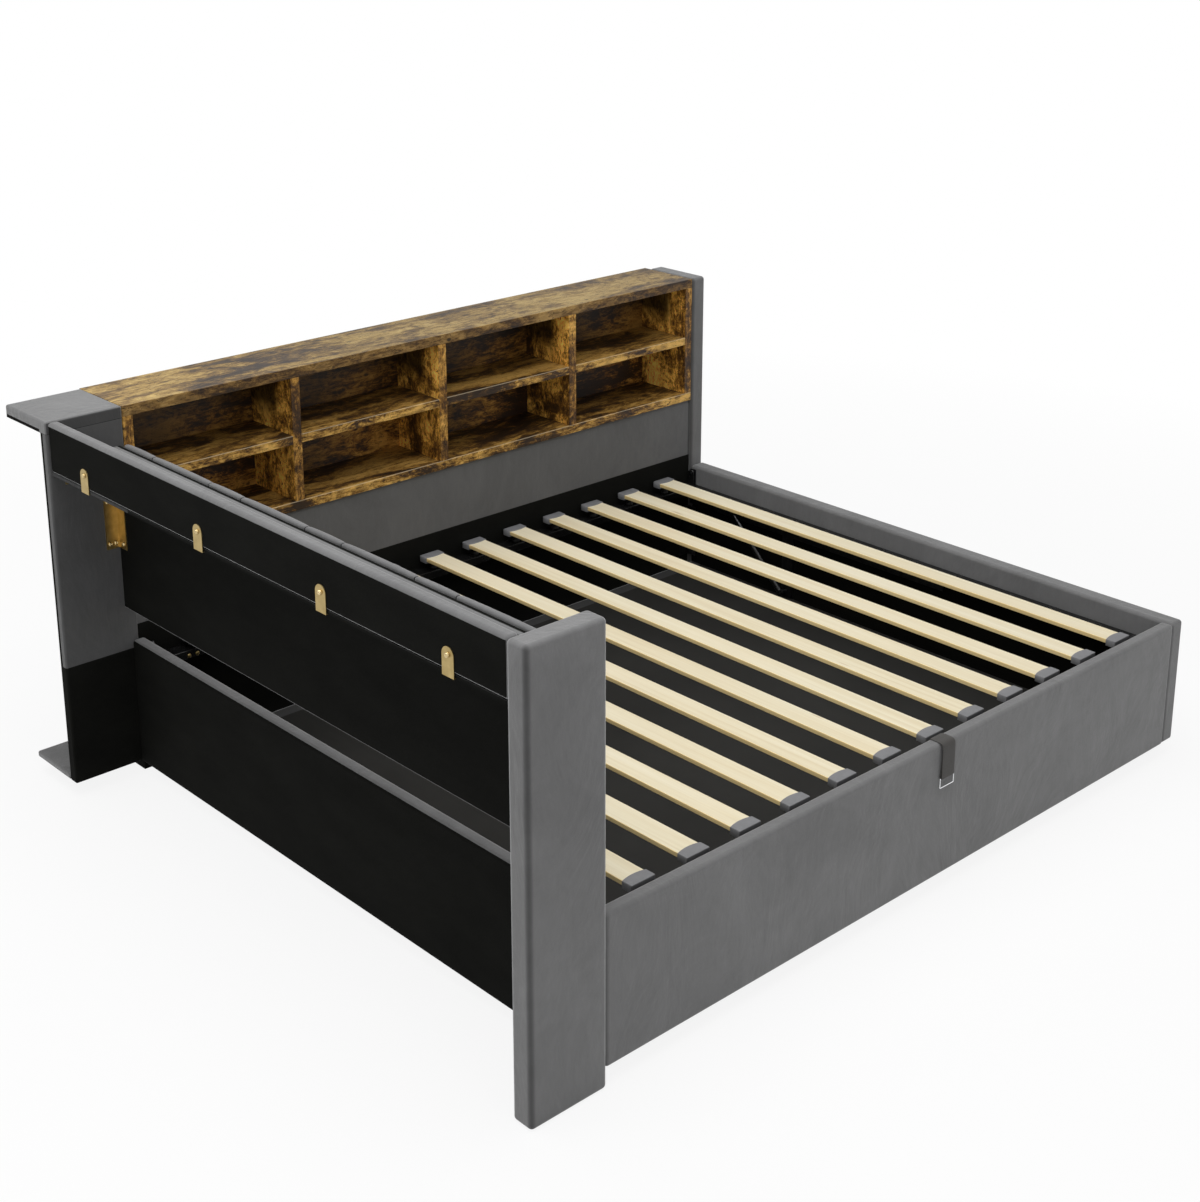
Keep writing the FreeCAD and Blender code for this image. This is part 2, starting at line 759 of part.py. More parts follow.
def along_spring(distance):
    """A point on the spring's line, as two expressions for Y and Z."""
    return (f"{foot_y} + ({distance}) * {spring_way.y:.6f}",
            f"spring_foot_height + ({distance}) * {spring_way.z:.6f}")


def spring_bar(name, radius, start, length, x):
    """A round bar on the spring's line."""
    y, z = along_spring(start)
    return cylinder(name, radius, length, (x, y, z), spring_way)


def spring_pair(side, x):
    """One gas spring: a bored cylinder with an eye, and a rod with an eye and a pin."""
    left_of_eye = f"{x} - eye_width / 2"
    eye = cylinder(side + "_foot_eye", "eye_radius", "eye_width",
                   (left_of_eye, foot_y, "spring_foot_height"), ALONG_X)
    barrel = spring_bar(side + "_barrel", "spring_radius", "spring_eye_gap / 2", "spring_length", x)
    solid = joined(side + "_spring_solid", "Part::MultiFuse", [eye, barrel])
    stud_hole = cylinder(side + "_stud_hole", "stud_radius + running_clearance", "eye_width + 2 * overrun",
                         (f"{left_of_eye} - overrun", foot_y, "spring_foot_height"), ALONG_X)
    rod_hole = spring_bar(side + "_rod_hole", "rod_radius + running_clearance",
                          "rod_start - socket_clearance", "spring_length + overrun", x)
    holes = joined(side + "_spring_holes", "Part::MultiFuse", [stud_hole, rod_hole])
    keep(cut(side + "_spring_cylinder", solid, holes), side + "_spring_cylinder")
    head_eye = cylinder(side + "_head_eye", "eye_radius", "eye_width",
                        (left_of_eye, head_y, "spring_head_height"), ALONG_X)
    rod = spring_bar(side + "_rod", "rod_radius", "rod_start",
                     f"{spring_closed:.4f} - rod_start", x)
    pin_x = f"{left_of_eye} - {pin_reach}" if side == "left" else x
    pin = cylinder(side + "_head_pin", "stud_radius", f"eye_width / 2 + {pin_reach}",
                   (pin_x, head_y, "spring_head_height"), ALONG_X)
    keep(joined(side + "_spring_rod", "Part::MultiFuse", [head_eye, rod, pin]), side + "_spring_rod")


pin_reach = "(tube_width / 2 - eye_width / 2 - bracket_metal - open_pivot_gap)"
side_plates = []
lift_brackets = []
for side, rail_face, tube_edge, sign in (("left", left_rail_back, frame_left_x, 1),
                                         ("right", end_rail_x, frame_right_x, -1)):
    word = "+" if sign > 0 else "-"
    axis = Vector(sign, 0, 0)
    tube_x = f"({tube_edge} {word} tube_width / 2)"
    near = f"({rail_face} {word} hinge_plate)"
    plate_x = (rail_face, near) if sign > 0 else (near, rail_face)
    half = "hinge_lug_width / 2"
    plate = box(side + "_hinge_plate", plate_x, (f"{hinge_y} - {half}", f"{hinge_y} + {half}"),
                ("bar_bottom", f"hinge_height + {half}"))
    pin = cylinder(side + "_hinge_pin", "hinge_pin_radius",
                   "frame_side_gap + hinge_lug_gap + hinge_lug + hinge_lug_gap - hinge_plate",
                   (near, hinge_y, "hinge_height"), axis)
    bar = box(side + "_mounting_bar", plate_x, (f"{hinge_y} - bar_reach", f"{hinge_y} + {half}"),
              ("bar_bottom", "bar_bottom + bar_height"))
    stud_plate = box(side + "_stud_plate", plate_x,
                     (f"{foot_y} - spring_plate_width / 2", f"{foot_y} + spring_plate_width / 2"),
                     ("spring_foot_height - spring_plate_width / 2", "bar_bottom + bar_height"))
    stud = cylinder(side + "_stud", "stud_radius",
                    "frame_side_gap + tube_width / 2 + eye_width / 2 - hinge_plate + screw_height",
                    (near, foot_y, "spring_foot_height"), axis)
    side_plates.append(joined(side + "_side_plate", "Part::MultiFuse", [plate, pin, bar, stud_plate, stud]))
    for bolt_name, reach in (("one", "bar_bolt_one"), ("two", "bar_bolt_two")):
        bolts.append(screw(f"{side}_bar_bolt_{bolt_name}",
                           (near, f"{hinge_y} - {reach}", "bar_bottom + bar_height / 2"), axis))
    lug_start = f"({tube_edge} {word} hinge_lug_gap)"
    lug_end = f"({lug_start} {word} hinge_lug)"
    lug_x = (lug_start, lug_end) if sign > 0 else (lug_end, lug_start)
    lug_y = (f"{hinge_y} - {half}", f"{hinge_y} + {half}")
    lug_plate = box(side + "_lug_plate", lug_x, lug_y, ("tube_top", "hinge_height"))
    lug_round = cylinder(side + "_lug_round", half, "hinge_lug", (lug_x[0], hinge_y, "hinge_height"), ALONG_X)
    lug_whole = joined(side + "_lug_whole", "Part::MultiFuse", [lug_plate, lug_round])
    lug_hole = cylinder(side + "_lug_hole", "hinge_pin_radius + running_clearance",
                        "hinge_lug + 2 * overrun", (f"{lug_x[0]} - overrun", hinge_y, "hinge_height"), ALONG_X)
    lift_brackets.append(cut(side + "_lug", lug_whole, lug_hole))
    hanger_end = f"({tube_edge} {word} bracket_metal)"
    hanger_x = (tube_edge, hanger_end) if sign > 0 else (hanger_end, tube_edge)
    lift_brackets.append(box(side + "_hanger", hanger_x,
                             (f"{head_y} - bracket_width / 2", f"{head_y} + bracket_width / 2"),
                             ("spring_head_height - eye_radius", "tube_top - tube_height")))
    spring_pair(side, tube_x)
keep(joined("side_plates", "Part::Compound", side_plates), "side_plates")
keep(joined("rail_bracket_bolts", "Part::Compound", bolts), "rail_bracket_bolts")
keep(joined("lift_brackets", "Part::Compound", lift_brackets), "lift_brackets")


# Pull strap over the front rail, and its wire ring

def ribbon(points, bend, thickness):
    """A closed outline of even thickness along straight runs with equal bends."""
    left = []
    right = []
    half = thickness / 2
    previous = points[0]
    for number in range(1, len(points)):
        here = points[number]
        run_in = (here - points[number - 1]).normalize()
        side = Vector(0, -run_in.z, run_in.y)
        if number == len(points) - 1:
            left.append(Part.makeLine(previous + side * half, here + side * half))
            right.append(Part.makeLine(previous - side * half, here - side * half))
            break
        run_out = (points[number + 1] - here).normalize()
        turn = math.atan2(run_in.cross(run_out).x, run_in.dot(run_out))
        setback = bend * math.tan(abs(turn) / 2)
        start = here - run_in * setback
        end = here + run_out * setback
        inward = side if turn > 0 else side * -1
        centre = start + inward * bend
        middle_way = (here - centre).normalize()
        for track, offset in ((left, side * half), (right, side * -half)):
            radius = (start + offset - centre).Length
            end_point = centre + (end - centre).normalize() * radius
            track.append(Part.makeLine(previous + offset, start + offset))
            track.append(Part.Arc(start + offset, centre + middle_way * radius, end_point).toShape())
        previous = end
    first_cap = Part.makeLine(left[0].Vertexes[0].Point, right[0].Vertexes[0].Point)
    last_cap = Part.makeLine(left[-1].Vertexes[1].Point, right[-1].Vertexes[1].Point)
    return Part.Wire(Part.__sortEdges__(left + right + [first_cap, last_cap]))


strap_half = mm("strap_thickness") / 2
rail_top_z = mm("rail_clearance") + mm("rail_height")
over_z = rail_top_z + mm("strap_gap") + strap_half
front_y = mm("front_rail_inset") - mm("strap_standoff")
back_y = mm("front_rail_inset") + mm("rail_thickness") + mm("strap_gap") + strap_half
tube_z_top = mm("tube_top") + strap_half
tube_end_y = back_y - strap_half + mm("frame_front_gap") + mm("strap_lap")
ring_z = rail_top_z - mm("ring_drop")
loop_radius = mm("ring_wire") + mm("ring_clearance") + strap_half
loop_bottom = ring_z - loop_radius
fold_y = front_y + mm("strap_thickness") + mm("ring_clearance") / 2
strap_points = [
    Vector(0, tube_end_y, tube_z_top),
    Vector(0, back_y, tube_z_top),
    Vector(0, back_y, over_z),
    Vector(0, front_y, over_z),
    Vector(0, front_y, loop_bottom),
    Vector(0, front_y + 2 * loop_radius, loop_bottom),
    Vector(0, front_y + 2 * loop_radius, ring_z + 3 * loop_radius),
    Vector(0, fold_y, ring_z + 6 * loop_radius),
    Vector(0, fold_y, ring_z + mm("strap_fold")),
]
strap_outline = ribbon(strap_points, loop_radius - strap_half / 8, mm("strap_thickness"))
strap = doc.addObject("Part::Feature", "lift_strap")
strap.Shape = Part.Face(strap_outline).extrude(Vector(mm("strap_width"), 0, 0))
place(strap, f"{strap_middle} - strap_width / 2", "0", "0")
keep(strap, "lift_strap")

ring_path_width = mm("ring_width") - 2 * mm("ring_wire")
ring_path_height = mm("ring_height") - 2 * mm("ring_wire")
corner = mm("ring_corner")
half_width = ring_path_width / 2
bend_share = 1 - math.sqrt(0.5)


def ring_path():
    """The wire's middle line: a rectangle with round corners, hung from its top side."""
    edges = []
    turns = ((half_width, 0, -1, -1), (half_width, -ring_path_height, -1, 1),
             (-half_width, -ring_path_height, 1, 1), (-half_width, 0, 1, -1))
    last = None
    first = None
    for number, (x, z, x_in, z_in) in enumerate(turns):
        along = Vector(x + x_in * corner, 0, z)
        down = Vector(x, 0, z + z_in * corner)
        middle = Vector(x + x_in * corner * bend_share, 0, z + z_in * corner * bend_share)
        start, end = (along, down) if number % 2 == 0 else (down, along)
        if last is not None:
            edges.append(Part.makeLine(last, start))
        else:
            first = start
        edges.append(Part.Arc(start, middle, end).toShape())
        last = end
    edges.append(Part.makeLine(last, first))
    return Part.Wire(edges)


path = ring_path()
section = Part.Wire([Part.makeCircle(mm("ring_wire"), Vector(0, 0, 0), Vector(1, 0, 0))])
ring = doc.addObject("Part::Feature", "pull_ring")
ring.Shape = path.makePipeShell([section], True, False)
place(ring, strap_middle,
      "front_rail_inset - strap_standoff + ring_wire + ring_clearance + strap_thickness / 2",
      f"{rail_top} - ring_drop")
keep(ring, "pull_ring")


# Recompute, check every object and write each sub-part

doc.recompute()
failed = []
for item in doc.Objects:
    if "Invalid" in item.State or "Error" in item.State:
        failed.append(item.Label)
for node in nodes:
    if node.Shape.isNull() or not node.Shape.isValid():
        failed.append(node.Label)
if failed:
    raise RuntimeError("not built: " + ", ".join(sorted(set(failed))))
whole = FreeCAD.BoundBox()
for node in nodes:
    whole.add(node.Shape.BoundBox)
    node.Shape.exportStep(f"parts/{node.Label}.step")
print(len(nodes), "sub-parts")
print("box", [round(size, 2) for size in (whole.XMin, whole.XMax, whole.YMin, whole.YMax, whole.ZMin, whole.ZMax)])
print("gas spring, closed length and slope:", round(spring_closed, 2), round(spring_slope, 3))
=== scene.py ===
import math

import bmesh
import bpy
from mathutils import Matrix, Vector, noise


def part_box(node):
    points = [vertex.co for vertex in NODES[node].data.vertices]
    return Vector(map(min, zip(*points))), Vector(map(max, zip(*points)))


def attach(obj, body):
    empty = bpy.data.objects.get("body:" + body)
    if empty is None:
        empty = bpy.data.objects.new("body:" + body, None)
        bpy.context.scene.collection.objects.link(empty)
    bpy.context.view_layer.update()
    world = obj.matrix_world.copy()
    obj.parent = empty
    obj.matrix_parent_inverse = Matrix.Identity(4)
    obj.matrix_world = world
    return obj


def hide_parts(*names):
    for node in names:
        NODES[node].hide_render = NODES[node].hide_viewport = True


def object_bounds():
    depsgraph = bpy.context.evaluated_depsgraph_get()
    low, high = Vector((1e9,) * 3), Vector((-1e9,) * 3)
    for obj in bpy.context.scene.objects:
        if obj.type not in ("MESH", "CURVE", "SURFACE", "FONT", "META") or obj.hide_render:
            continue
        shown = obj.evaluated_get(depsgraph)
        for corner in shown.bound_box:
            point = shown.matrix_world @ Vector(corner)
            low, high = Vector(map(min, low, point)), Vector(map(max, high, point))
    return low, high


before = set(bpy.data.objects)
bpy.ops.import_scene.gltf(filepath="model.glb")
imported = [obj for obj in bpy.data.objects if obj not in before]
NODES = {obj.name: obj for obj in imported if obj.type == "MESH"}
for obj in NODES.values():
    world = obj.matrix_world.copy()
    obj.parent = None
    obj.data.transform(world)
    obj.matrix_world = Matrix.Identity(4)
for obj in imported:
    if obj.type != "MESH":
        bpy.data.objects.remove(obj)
cad_low, cad_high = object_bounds()
MM = 0.001

# Heights at which the black lining ends, above the floor
COLUMN_LINING_TOP = 387 * MM
REAR_LINING_TOP = 451 * MM
END_LINING_TOP = 343 * MM

# Widths of velvet, lining or painted shade along an edge of the piece that carries them
SKIN = 1.0 * MM
VELVET_EDGE = 9 * MM
LEFT_RAIL_EDGE = 2.5 * MM
BLACK_BACKING = 15 * MM
COLUMN_TOP_EDGE = 9 * MM
COLUMN_BASE_EDGE = 4 * MM
BOARD_TOP_EDGE = 5 * MM
BOARD_FACE_EDGE = 8.5 * MM
BOARD_LOW_EDGE = 1.2 * MM
LEDGE_TOP_EDGE = 0.5 * MM
LEDGE_SIDE_EDGE = 0.6 * MM
LEDGE_VELVET_LENGTH = 390 * MM
REAR_PANEL_SHADE = 6 * MM

# The photograph's camera: its place, its turn and its lens for a picture 1200 pixels wide. It keeps half of
# the photograph's own shift, so that the other views stay inside their frames.
IMAGE_WIDTH = 1200
CAMERA_PLACE = Vector((-3.3557, -3.57035, 2.5661))
CAMERA_YAW = math.radians(42.861)
CAMERA_PITCH = math.radians(16.822)
FOCAL_PIXELS = 1903.2
SENSOR_WIDTH = 36
SHIFT_Y = -0.17
FARTHEST_SEEN = 200


# Shader building

class Look:
    """A procedural material under construction."""

    def __init__(self, name):
        self.material = bpy.data.materials.new(name)
        self.material.use_nodes = True
        self.tree = self.material.node_tree
        self.shader = self.tree.nodes["Principled BSDF"]
        self.output = self.tree.nodes["Material Output"]
        self.place = self.add("ShaderNodeTexCoord").outputs["Object"]

    def add(self, kind, **settings):
        """A new node with some of its settings."""
        node = self.tree.nodes.new(kind)
        for name, value in settings.items():
            setattr(node, name, value)
        return node

    def feed(self, socket, value):
        """Links a node's output to a socket, or sets a constant on it."""
        if isinstance(value, bpy.types.NodeSocket):
            self.tree.links.new(value, socket)
        else:
            socket.default_value = value

    def done(self, colour, roughness, normal):
        """The finished material."""
        for name, value in (("Base Color", colour), ("Roughness", roughness), ("Normal", normal)):
            self.feed(self.shader.inputs[name], value)
        return self.material

    def math(self, operation, first, second=0.0):
        node = self.add("ShaderNodeMath", operation=operation)
        self.feed(node.inputs[0], first)
        self.feed(node.inputs[1], second)
        return node.outputs[0]

    def total(self, first, second):
        return self.math("ADD", first, second)

    def product(self, first, second):
        return self.math("MULTIPLY", first, second)

    def axis(self, name):
        """One coordinate of the point, in metres."""
        split = self.add("ShaderNodeSeparateXYZ")
        self.feed(split.inputs[0], self.place)
        return split.outputs[name.upper()]

    def stretched(self, scale, offset=(0, 0, 0)):
        """The point, scaled and moved before it goes into a texture."""
        node = self.add("ShaderNodeMapping")
        self.feed(node.inputs["Vector"], self.place)
        node.inputs["Scale"].default_value = scale
        node.inputs["Location"].default_value = offset
        return node.outputs[0]

    def noise(self, vector, scale, detail=4.0, roughness=0.5, distortion=0.0):
        node = self.add("ShaderNodeTexNoise")
        self.feed(node.inputs["Vector"], vector)
        node.inputs["Scale"].default_value = scale
        node.inputs["Detail"].default_value = detail
        node.inputs["Roughness"].default_value = roughness
        node.inputs["Distortion"].default_value = distortion
        return node.outputs["Fac"]

    def cells(self, vector, scale):
        """The distance from the nearest of some scattered points."""
        node = self.add("ShaderNodeTexVoronoi")
        self.feed(node.inputs["Vector"], vector)
        node.inputs["Scale"].default_value = scale
        return node.outputs["Distance"]

    def remap(self, value, low, high, to_low=0.0, to_high=1.0):
        """The value moved from one range to another, and held at its ends."""
        node = self.add("ShaderNodeMapRange")
        self.feed(node.inputs["Value"], value)
        node.inputs["From Min"].default_value = low
        node.inputs["From Max"].default_value = high
        node.inputs["To Min"].default_value = to_low
        node.inputs["To Max"].default_value = to_high
        return node.outputs[0]

    def ramp(self, value, stops):
        """Colours by value; stops are (value, colour)."""
        node = self.add("ShaderNodeValToRGB")
        self.feed(node.inputs[0], value)
        points = node.color_ramp.elements
        while len(points) < len(stops):
            points.new(0.5)
        for point, (position, colour) in zip(points, stops):
            point.position = position
            point.color = (*colour, 1.0)
        return node.outputs[0]

    def greys(self, value, low, high, dark, light=1.0):
        """Greys from dark at a low value to light at a high one."""
        return self.ramp(value, [(low, grey(dark)), (high, grey(light))])

    def grey_of(self, value):
        """A grey as bright as the value, also above 1."""
        node = self.add("ShaderNodeCombineColor")
        for socket in node.inputs:
            self.feed(socket, value)
        return node.outputs[0]

    def mix(self, amount, first, second, blend="MIX"):
        node = self.add("ShaderNodeMix", data_type="RGBA", blend_type=blend)
        self.feed(node.inputs[0], amount)
        for socket, value in ((node.inputs[6], first), (node.inputs[7], second)):
            self.feed(socket, value if isinstance(value, bpy.types.NodeSocket) else (*value, 1.0))
        return node.outputs[2]

    def tint(self, colour, other, amount=1.0):
        """A colour multiplied by another."""
        return self.mix(amount, colour, other, "MULTIPLY")

    def bump(self, height, strength, distance, after=None):
        """A normal, on top of the one from an earlier bump."""
        node = self.add("ShaderNodeBump")
        node.inputs["Strength"].default_value = strength
        node.inputs["Distance"].default_value = distance
        self.feed(node.inputs["Height"], height)
        if after is not None:
            self.feed(node.inputs["Normal"], after)
        return node.outputs[0]

    def reach(self, corner, near, far, low):
        """low within near metres of an upright line at corner (x, y), rising to 1 at far metres."""
        across = self.math("POWER", self.math("SUBTRACT", self.axis("x"), corner[0]), 2.0)
        along = self.math("POWER", self.math("SUBTRACT", self.axis("y"), corner[1]), 2.0)
        return self.remap(self.math("SQRT", self.total(across, along)), near, far, low, 1.0)

    def inside(self, regions):
        """1 where the point is in any of the regions, each a list of (axis, side, metres)."""
        found = None
        for region in regions:
            within = None
            for axis, side, limit in region:
                test = self.math("LESS_THAN" if side == "below" else "GREATER_THAN", self.axis(axis), limit)
                within = test if within is None else self.product(within, test)
            found = within if found is None else self.math("MAXIMUM", found, within)
        return found


def grey(level):
    """An even grey, also above 1 for a tint."""
    return (level, level, level)


def times(colour, share):
    """A darker or brighter colour."""
    return tuple(share * part for part in colour)


# Velvet, lining and their two-tone boards

VELVET = (0.178, 0.178, 0.179)
LINING = (0.0090, 0.0091, 0.0080)
# Painted shade: the tint that darkens the velvet in shaded regions
PAINTED_SHADE_TINT = grey(0.41)
# Noise patterns here and below: scale, detail, roughness and distortion, if any
VELVET_CLOUD = (3.4, 8, 0.66, 0.9)
VELVET_NAP = (60, 7, 0.68, 0.6)
VELVET_FIBRE = (900, 2, 0.7)
VELVET_CREASE = (4.2, 6, 0.6, 1.6)
LINING_STREAK = (5, 6, 0.62)
LINING_FLECK = (420, 3, 0.7)
# Bumps here and below: strength and depth
CREASE_BUMP = (0.34, 14 * MM)
NAP_BUMP = (0.16, 2 * MM)
FIBRE_BUMP = (0.25, 0.6 * MM)
WEAVE_BUMP = (0.2, 0.3 * MM)
LINING_BUMP = (0.15, 3 * MM)
SEAM_COLOUR = grey(0.018)
SEAM_HALF_WIDTH = 1.8 * MM
# Painted shade along an upright corner: at the level within the near distance, gone by the far one
CORNER_SHADE_NEAR = 3 * MM
CORNER_SHADE_FAR = 15 * MM
CORNER_SHADE_LEVEL = 0.45
WEAVE_PER_METRE = 2600


def velvet_surface(look, shader, seed, shade_level):
    """Short pile: cloudy nap, upright brush marks, fine fibre grain and a soft sheen; the shade level given
    dims it all as painted shade.
    """
    cloud = look.noise(look.stretched((1, 1, 1), (seed, 0.3 * seed, 0)), *VELVET_CLOUD)
    nap = look.noise(look.stretched((1, 1, 0.3), (0, seed, 0)), *VELVET_NAP)
    fibre = look.noise(look.place, *VELVET_FIBRE)
    shade = look.ramp(cloud, [(0.3, times(VELVET, 0.86 * shade_level)), (0.7, times(VELVET, 1.14 * shade_level))])
    wear_and_highlight = look.tint(shade, look.greys(nap, 0.33, 0.67, 0.72), 0.32)
    grain = look.tint(wear_and_highlight, look.greys(fibre, 0.3, 0.7, 0.6), 0.3)
    look.feed(shader.inputs["Base Color"], grain)
    shader.inputs["Roughness"].default_value = 0.9
    shader.inputs["Specular IOR Level"].default_value = 0.12
    shader.inputs["Sheen Weight"].default_value = 0.75 * shade_level
    shader.inputs["Sheen Roughness"].default_value = 0.42
    crease = look.noise(look.stretched((1, 1, 0.6), (seed, 0, 0)), *VELVET_CREASE)
    normal = look.bump(crease, *CREASE_BUMP)
    normal = look.bump(nap, *NAP_BUMP, normal)
    normal = look.bump(fibre, *FIBRE_BUMP, normal)
    look.feed(shader.inputs["Normal"], normal)


def lining_surface(look, shader, seed):
    """Thin black cloth: a fine even weave with faint streaks."""
    threads = [look.math("SINE", look.product(look.axis(axis), WEAVE_PER_METRE)) for axis in "yz"]
    streak = look.noise(look.stretched((1, 0.8, 2), (seed, 0, 0)), *LINING_STREAK)
    fleck = look.noise(look.place, *LINING_FLECK)
    colour = look.ramp(streak, [(0.3, times(LINING, 0.8)), (0.75, times(LINING, 1.35))])
    look.feed(shader.inputs["Base Color"], look.tint(colour, look.greys(fleck, 0.35, 0.7, 0.45), 0.6))
    shader.inputs["Roughness"].default_value = 0.78
    shader.inputs["Specular IOR Level"].default_value = 0.03
    normal = look.bump(look.product(*threads), *WEAVE_BUMP)
    look.feed(shader.inputs["Normal"], look.bump(streak, *LINING_BUMP, normal))


def velvet(name, seed, lined=(), seams=(), shade_level=1.0, shade_regions=(), corner_shade=None):
    """Velvet: darkened by painted shade in regions and along an upright corner at (x, y), sewn at the seams' y
    and lined in regions.
    """
    look = Look(name)
    velvet_surface(look, look.shader, seed, shade_level)
    base = look.shader.inputs["Base Color"]
    colour = base.links[0].from_socket
    # Painted shade: the colour is darkened in the given regions
    if shade_regions:
        colour = look.mix(look.inside(shade_regions), colour, look.tint(colour, PAINTED_SHADE_TINT))
    # Painted shade darkens the velvet along an upright corner
    if corner_shade:
        colour = look.tint(colour, look.reach(corner_shade, CORNER_SHADE_NEAR, CORNER_SHADE_FAR, CORNER_SHADE_LEVEL))
    if seams:
        threads = [[("y", "above", seam - SEAM_HALF_WIDTH), ("y", "below", seam + SEAM_HALF_WIDTH)]
                   for seam in seams]
        colour = look.mix(look.inside(threads), colour, SEAM_COLOUR)
    look.feed(base, colour)
    if lined:
        other = look.add("ShaderNodeBsdfPrincipled")
        lining_surface(look, other, seed)
        blend = look.add("ShaderNodeMixShader")
        look.feed(blend.inputs[0], look.inside(lined))
        look.feed(blend.inputs[1], look.shader.outputs[0])
        look.feed(blend.inputs[2], other.outputs[0])
        look.feed(look.output.inputs["Surface"], blend.outputs[0])
    return look.material


def lining(name, seed):
    """The black cloth alone."""
    look = Look(name)
    lining_surface(look, look.shader, seed)
    return look.material


# Wood

WOOD_TONES = [
    (0.420, (0.014, 0.008, 0.004)),
    (0.460, (0.050, 0.028, 0.009)),
    (0.497, (0.150, 0.090, 0.026)),
    (0.535, (0.300, 0.203, 0.066)),
    (0.610, (0.500, 0.370, 0.150)),
]
WOOD_CLOUD = (7.5, 10, 0.72, 0.7)
WOOD_MOTTLE = (34, 9, 0.82, 0.8)
WOOD_STREAK = (170, 4, 0.85, 0.2)
WOOD_WISP = (62, 6, 0.62, 1.5)
WOOD_SPECK = (150, 3, 0.75, 0.8)
WOOD_KNOT_PLACES = (4.0, 2, 0.5)
WOOD_BUMP = (0.22, 0.7 * MM)
CLOUD_SHARE = 0.50
MOTTLE_SHARE = 0.32
STREAK_SHARE = 0.18
WISP_COLOUR = (0.045, 0.025, 0.010)
SPECK_COLOUR = (0.028, 0.015, 0.006)
KNOT_COLOUR = (0.012, 0.007, 0.003)
EDGE_BLOCKS = [(0.15, (0.36, 0.25, 0.18)), (0.55, (0.80, 0.64, 0.50))]
EDGE_DEPTH = 1.5 * MM
# Painted highlight along the top of each level's front rim: its colour, depth and share
RIM_HIGHLIGHT_COLOUR = (0.62, 0.52, 0.36)
RIM_DEPTH = 2.0 * MM
RIM_HIGHLIGHT_SHARE = 0.5

# Painted light on the top board: its brightness goes between two places along X, from the first level to the
# second
TOP_LIGHT_PLACES = (-1.0, -0.25)
TOP_LIGHT_LEVELS = (1.22, 0.82)

# Painted shade inside the cubbies and painted light at each back's lower right: heights from a shelf, depths
# behind the front, shares of a width, and levels
SHADE_UNDER_SHELF = 50 * MM
SIDE_SHADE_RISE = (15 * MM, 80 * MM)
SIDE_SHADE_DEPTH = (60 * MM, 90 * MM)
SIDE_SHADE_LEVEL = 0.90
BACK_SHADE_RISE = (45 * MM, 115 * MM)
BACK_RIGHT_SHARES = (0.42, 0.72)
BACK_RIGHT_GAIN = 1.9
BACK_RIGHT_LOSS = 2.6
BACK_ROW_LEVELS = (1.5, 0.85)

# Per kind of board: the tint of its faces, its contrast and the tint of its front edge. Besides colour, the
# tints hold painted shade, darkest on the back, and painted light on the front edges of uprights and levels
TOP_TINTS = ((0.94, 0.90, 0.80), 1.25, grey(1.0))
BACK_TINTS = ((0.44, 0.345, 0.25), 1.9, grey(1.0))
UPRIGHT_TINTS = ((1.05, 0.90, 0.68), 1.3, (2.2, 2.05, 1.5))
LEVEL_TINTS = ((0.90, 0.71, 0.45), 2.0, (1.85, 1.8, 1.4))
# Painted shade on the back inside the cubbies, and painted light on the uprights' faces there
BACK_INNER_SHADE = (0.30, 0.212, 0.112)
SIDE_INNER_LIGHT = (3.6, 2.9, 1.7)

PINE_RINGS = [(0.32, (0.70, 0.61, 0.42)), (0.5, (0.75, 0.675, 0.49)), (0.68, (0.78, 0.715, 0.545))]
PINE_BLUSH = [(0.35, (1.0, 0.94, 0.86)), (0.65, grey(1.0))]
PINE_KNOT = (0.42, 0.25, 0.10)
PINE_RING_CLOUD = (1.6, 5, 0.6, 0.7)
PINE_FIBRE = (2.2, 3, 0.6)
PINE_BLUSH_CLOUD = (2.4, 3, 0.5)
PINE_BUMP = (0.12, 0.5 * MM)
# The sides' tint: a warmer colour and painted light
SAWN_TINT_AND_LIGHT = (1.28, 1.08, 0.66)
SAWN_DEPTH = 1.2 * MM


def cubby_shade(look, front, upright):
    """Painted shade towards each cubby's back and top, painted light at its back's lower right; 1 is
    unchanged.
    """
    shelf_low, shelf_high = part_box("bookcase_shelf_1")
    z = look.axis("z")
    upper = look.inside([[("z", "above", shelf_high.z)]])
    lower = look.math("SUBTRACT", 1.0, upper)
    under = look.product(lower, look.remap(z, shelf_low.z - SHADE_UNDER_SHELF, shelf_low.z))
    start, end = SIDE_SHADE_RISE if upright else BACK_SHADE_RISE
    above = look.product(upper, look.remap(z, shelf_high.z + start, shelf_high.z + end))
    high = look.math("MAXIMUM", above, under)
    if upright:
        near, far = SIDE_SHADE_DEPTH
        deep = look.remap(look.axis("y"), front + near, front + far)
        return look.math("SUBTRACT", 1.0, look.product(deep, look.product(high, SIDE_SHADE_LEVEL)))
    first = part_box("bookcase_divider_1")[0].x
    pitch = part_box("bookcase_divider_2")[0].x - first
    # Counting from ten cubbies to the left keeps the fraction positive
    counted = look.math("SUBTRACT", look.axis("x"), first - 10 * pitch)
    across = look.math("FRACT", look.math("DIVIDE", counted, pitch))
    right = look.remap(across, *BACK_RIGHT_SHARES)
    change = look.math("SUBTRACT", BACK_RIGHT_GAIN, look.product(high, BACK_RIGHT_LOSS))
    level = look.remap(upper, 0.0, 1.0, *BACK_ROW_LEVELS)
    return look.product(level, look.total(1.0, look.product(right, change)))


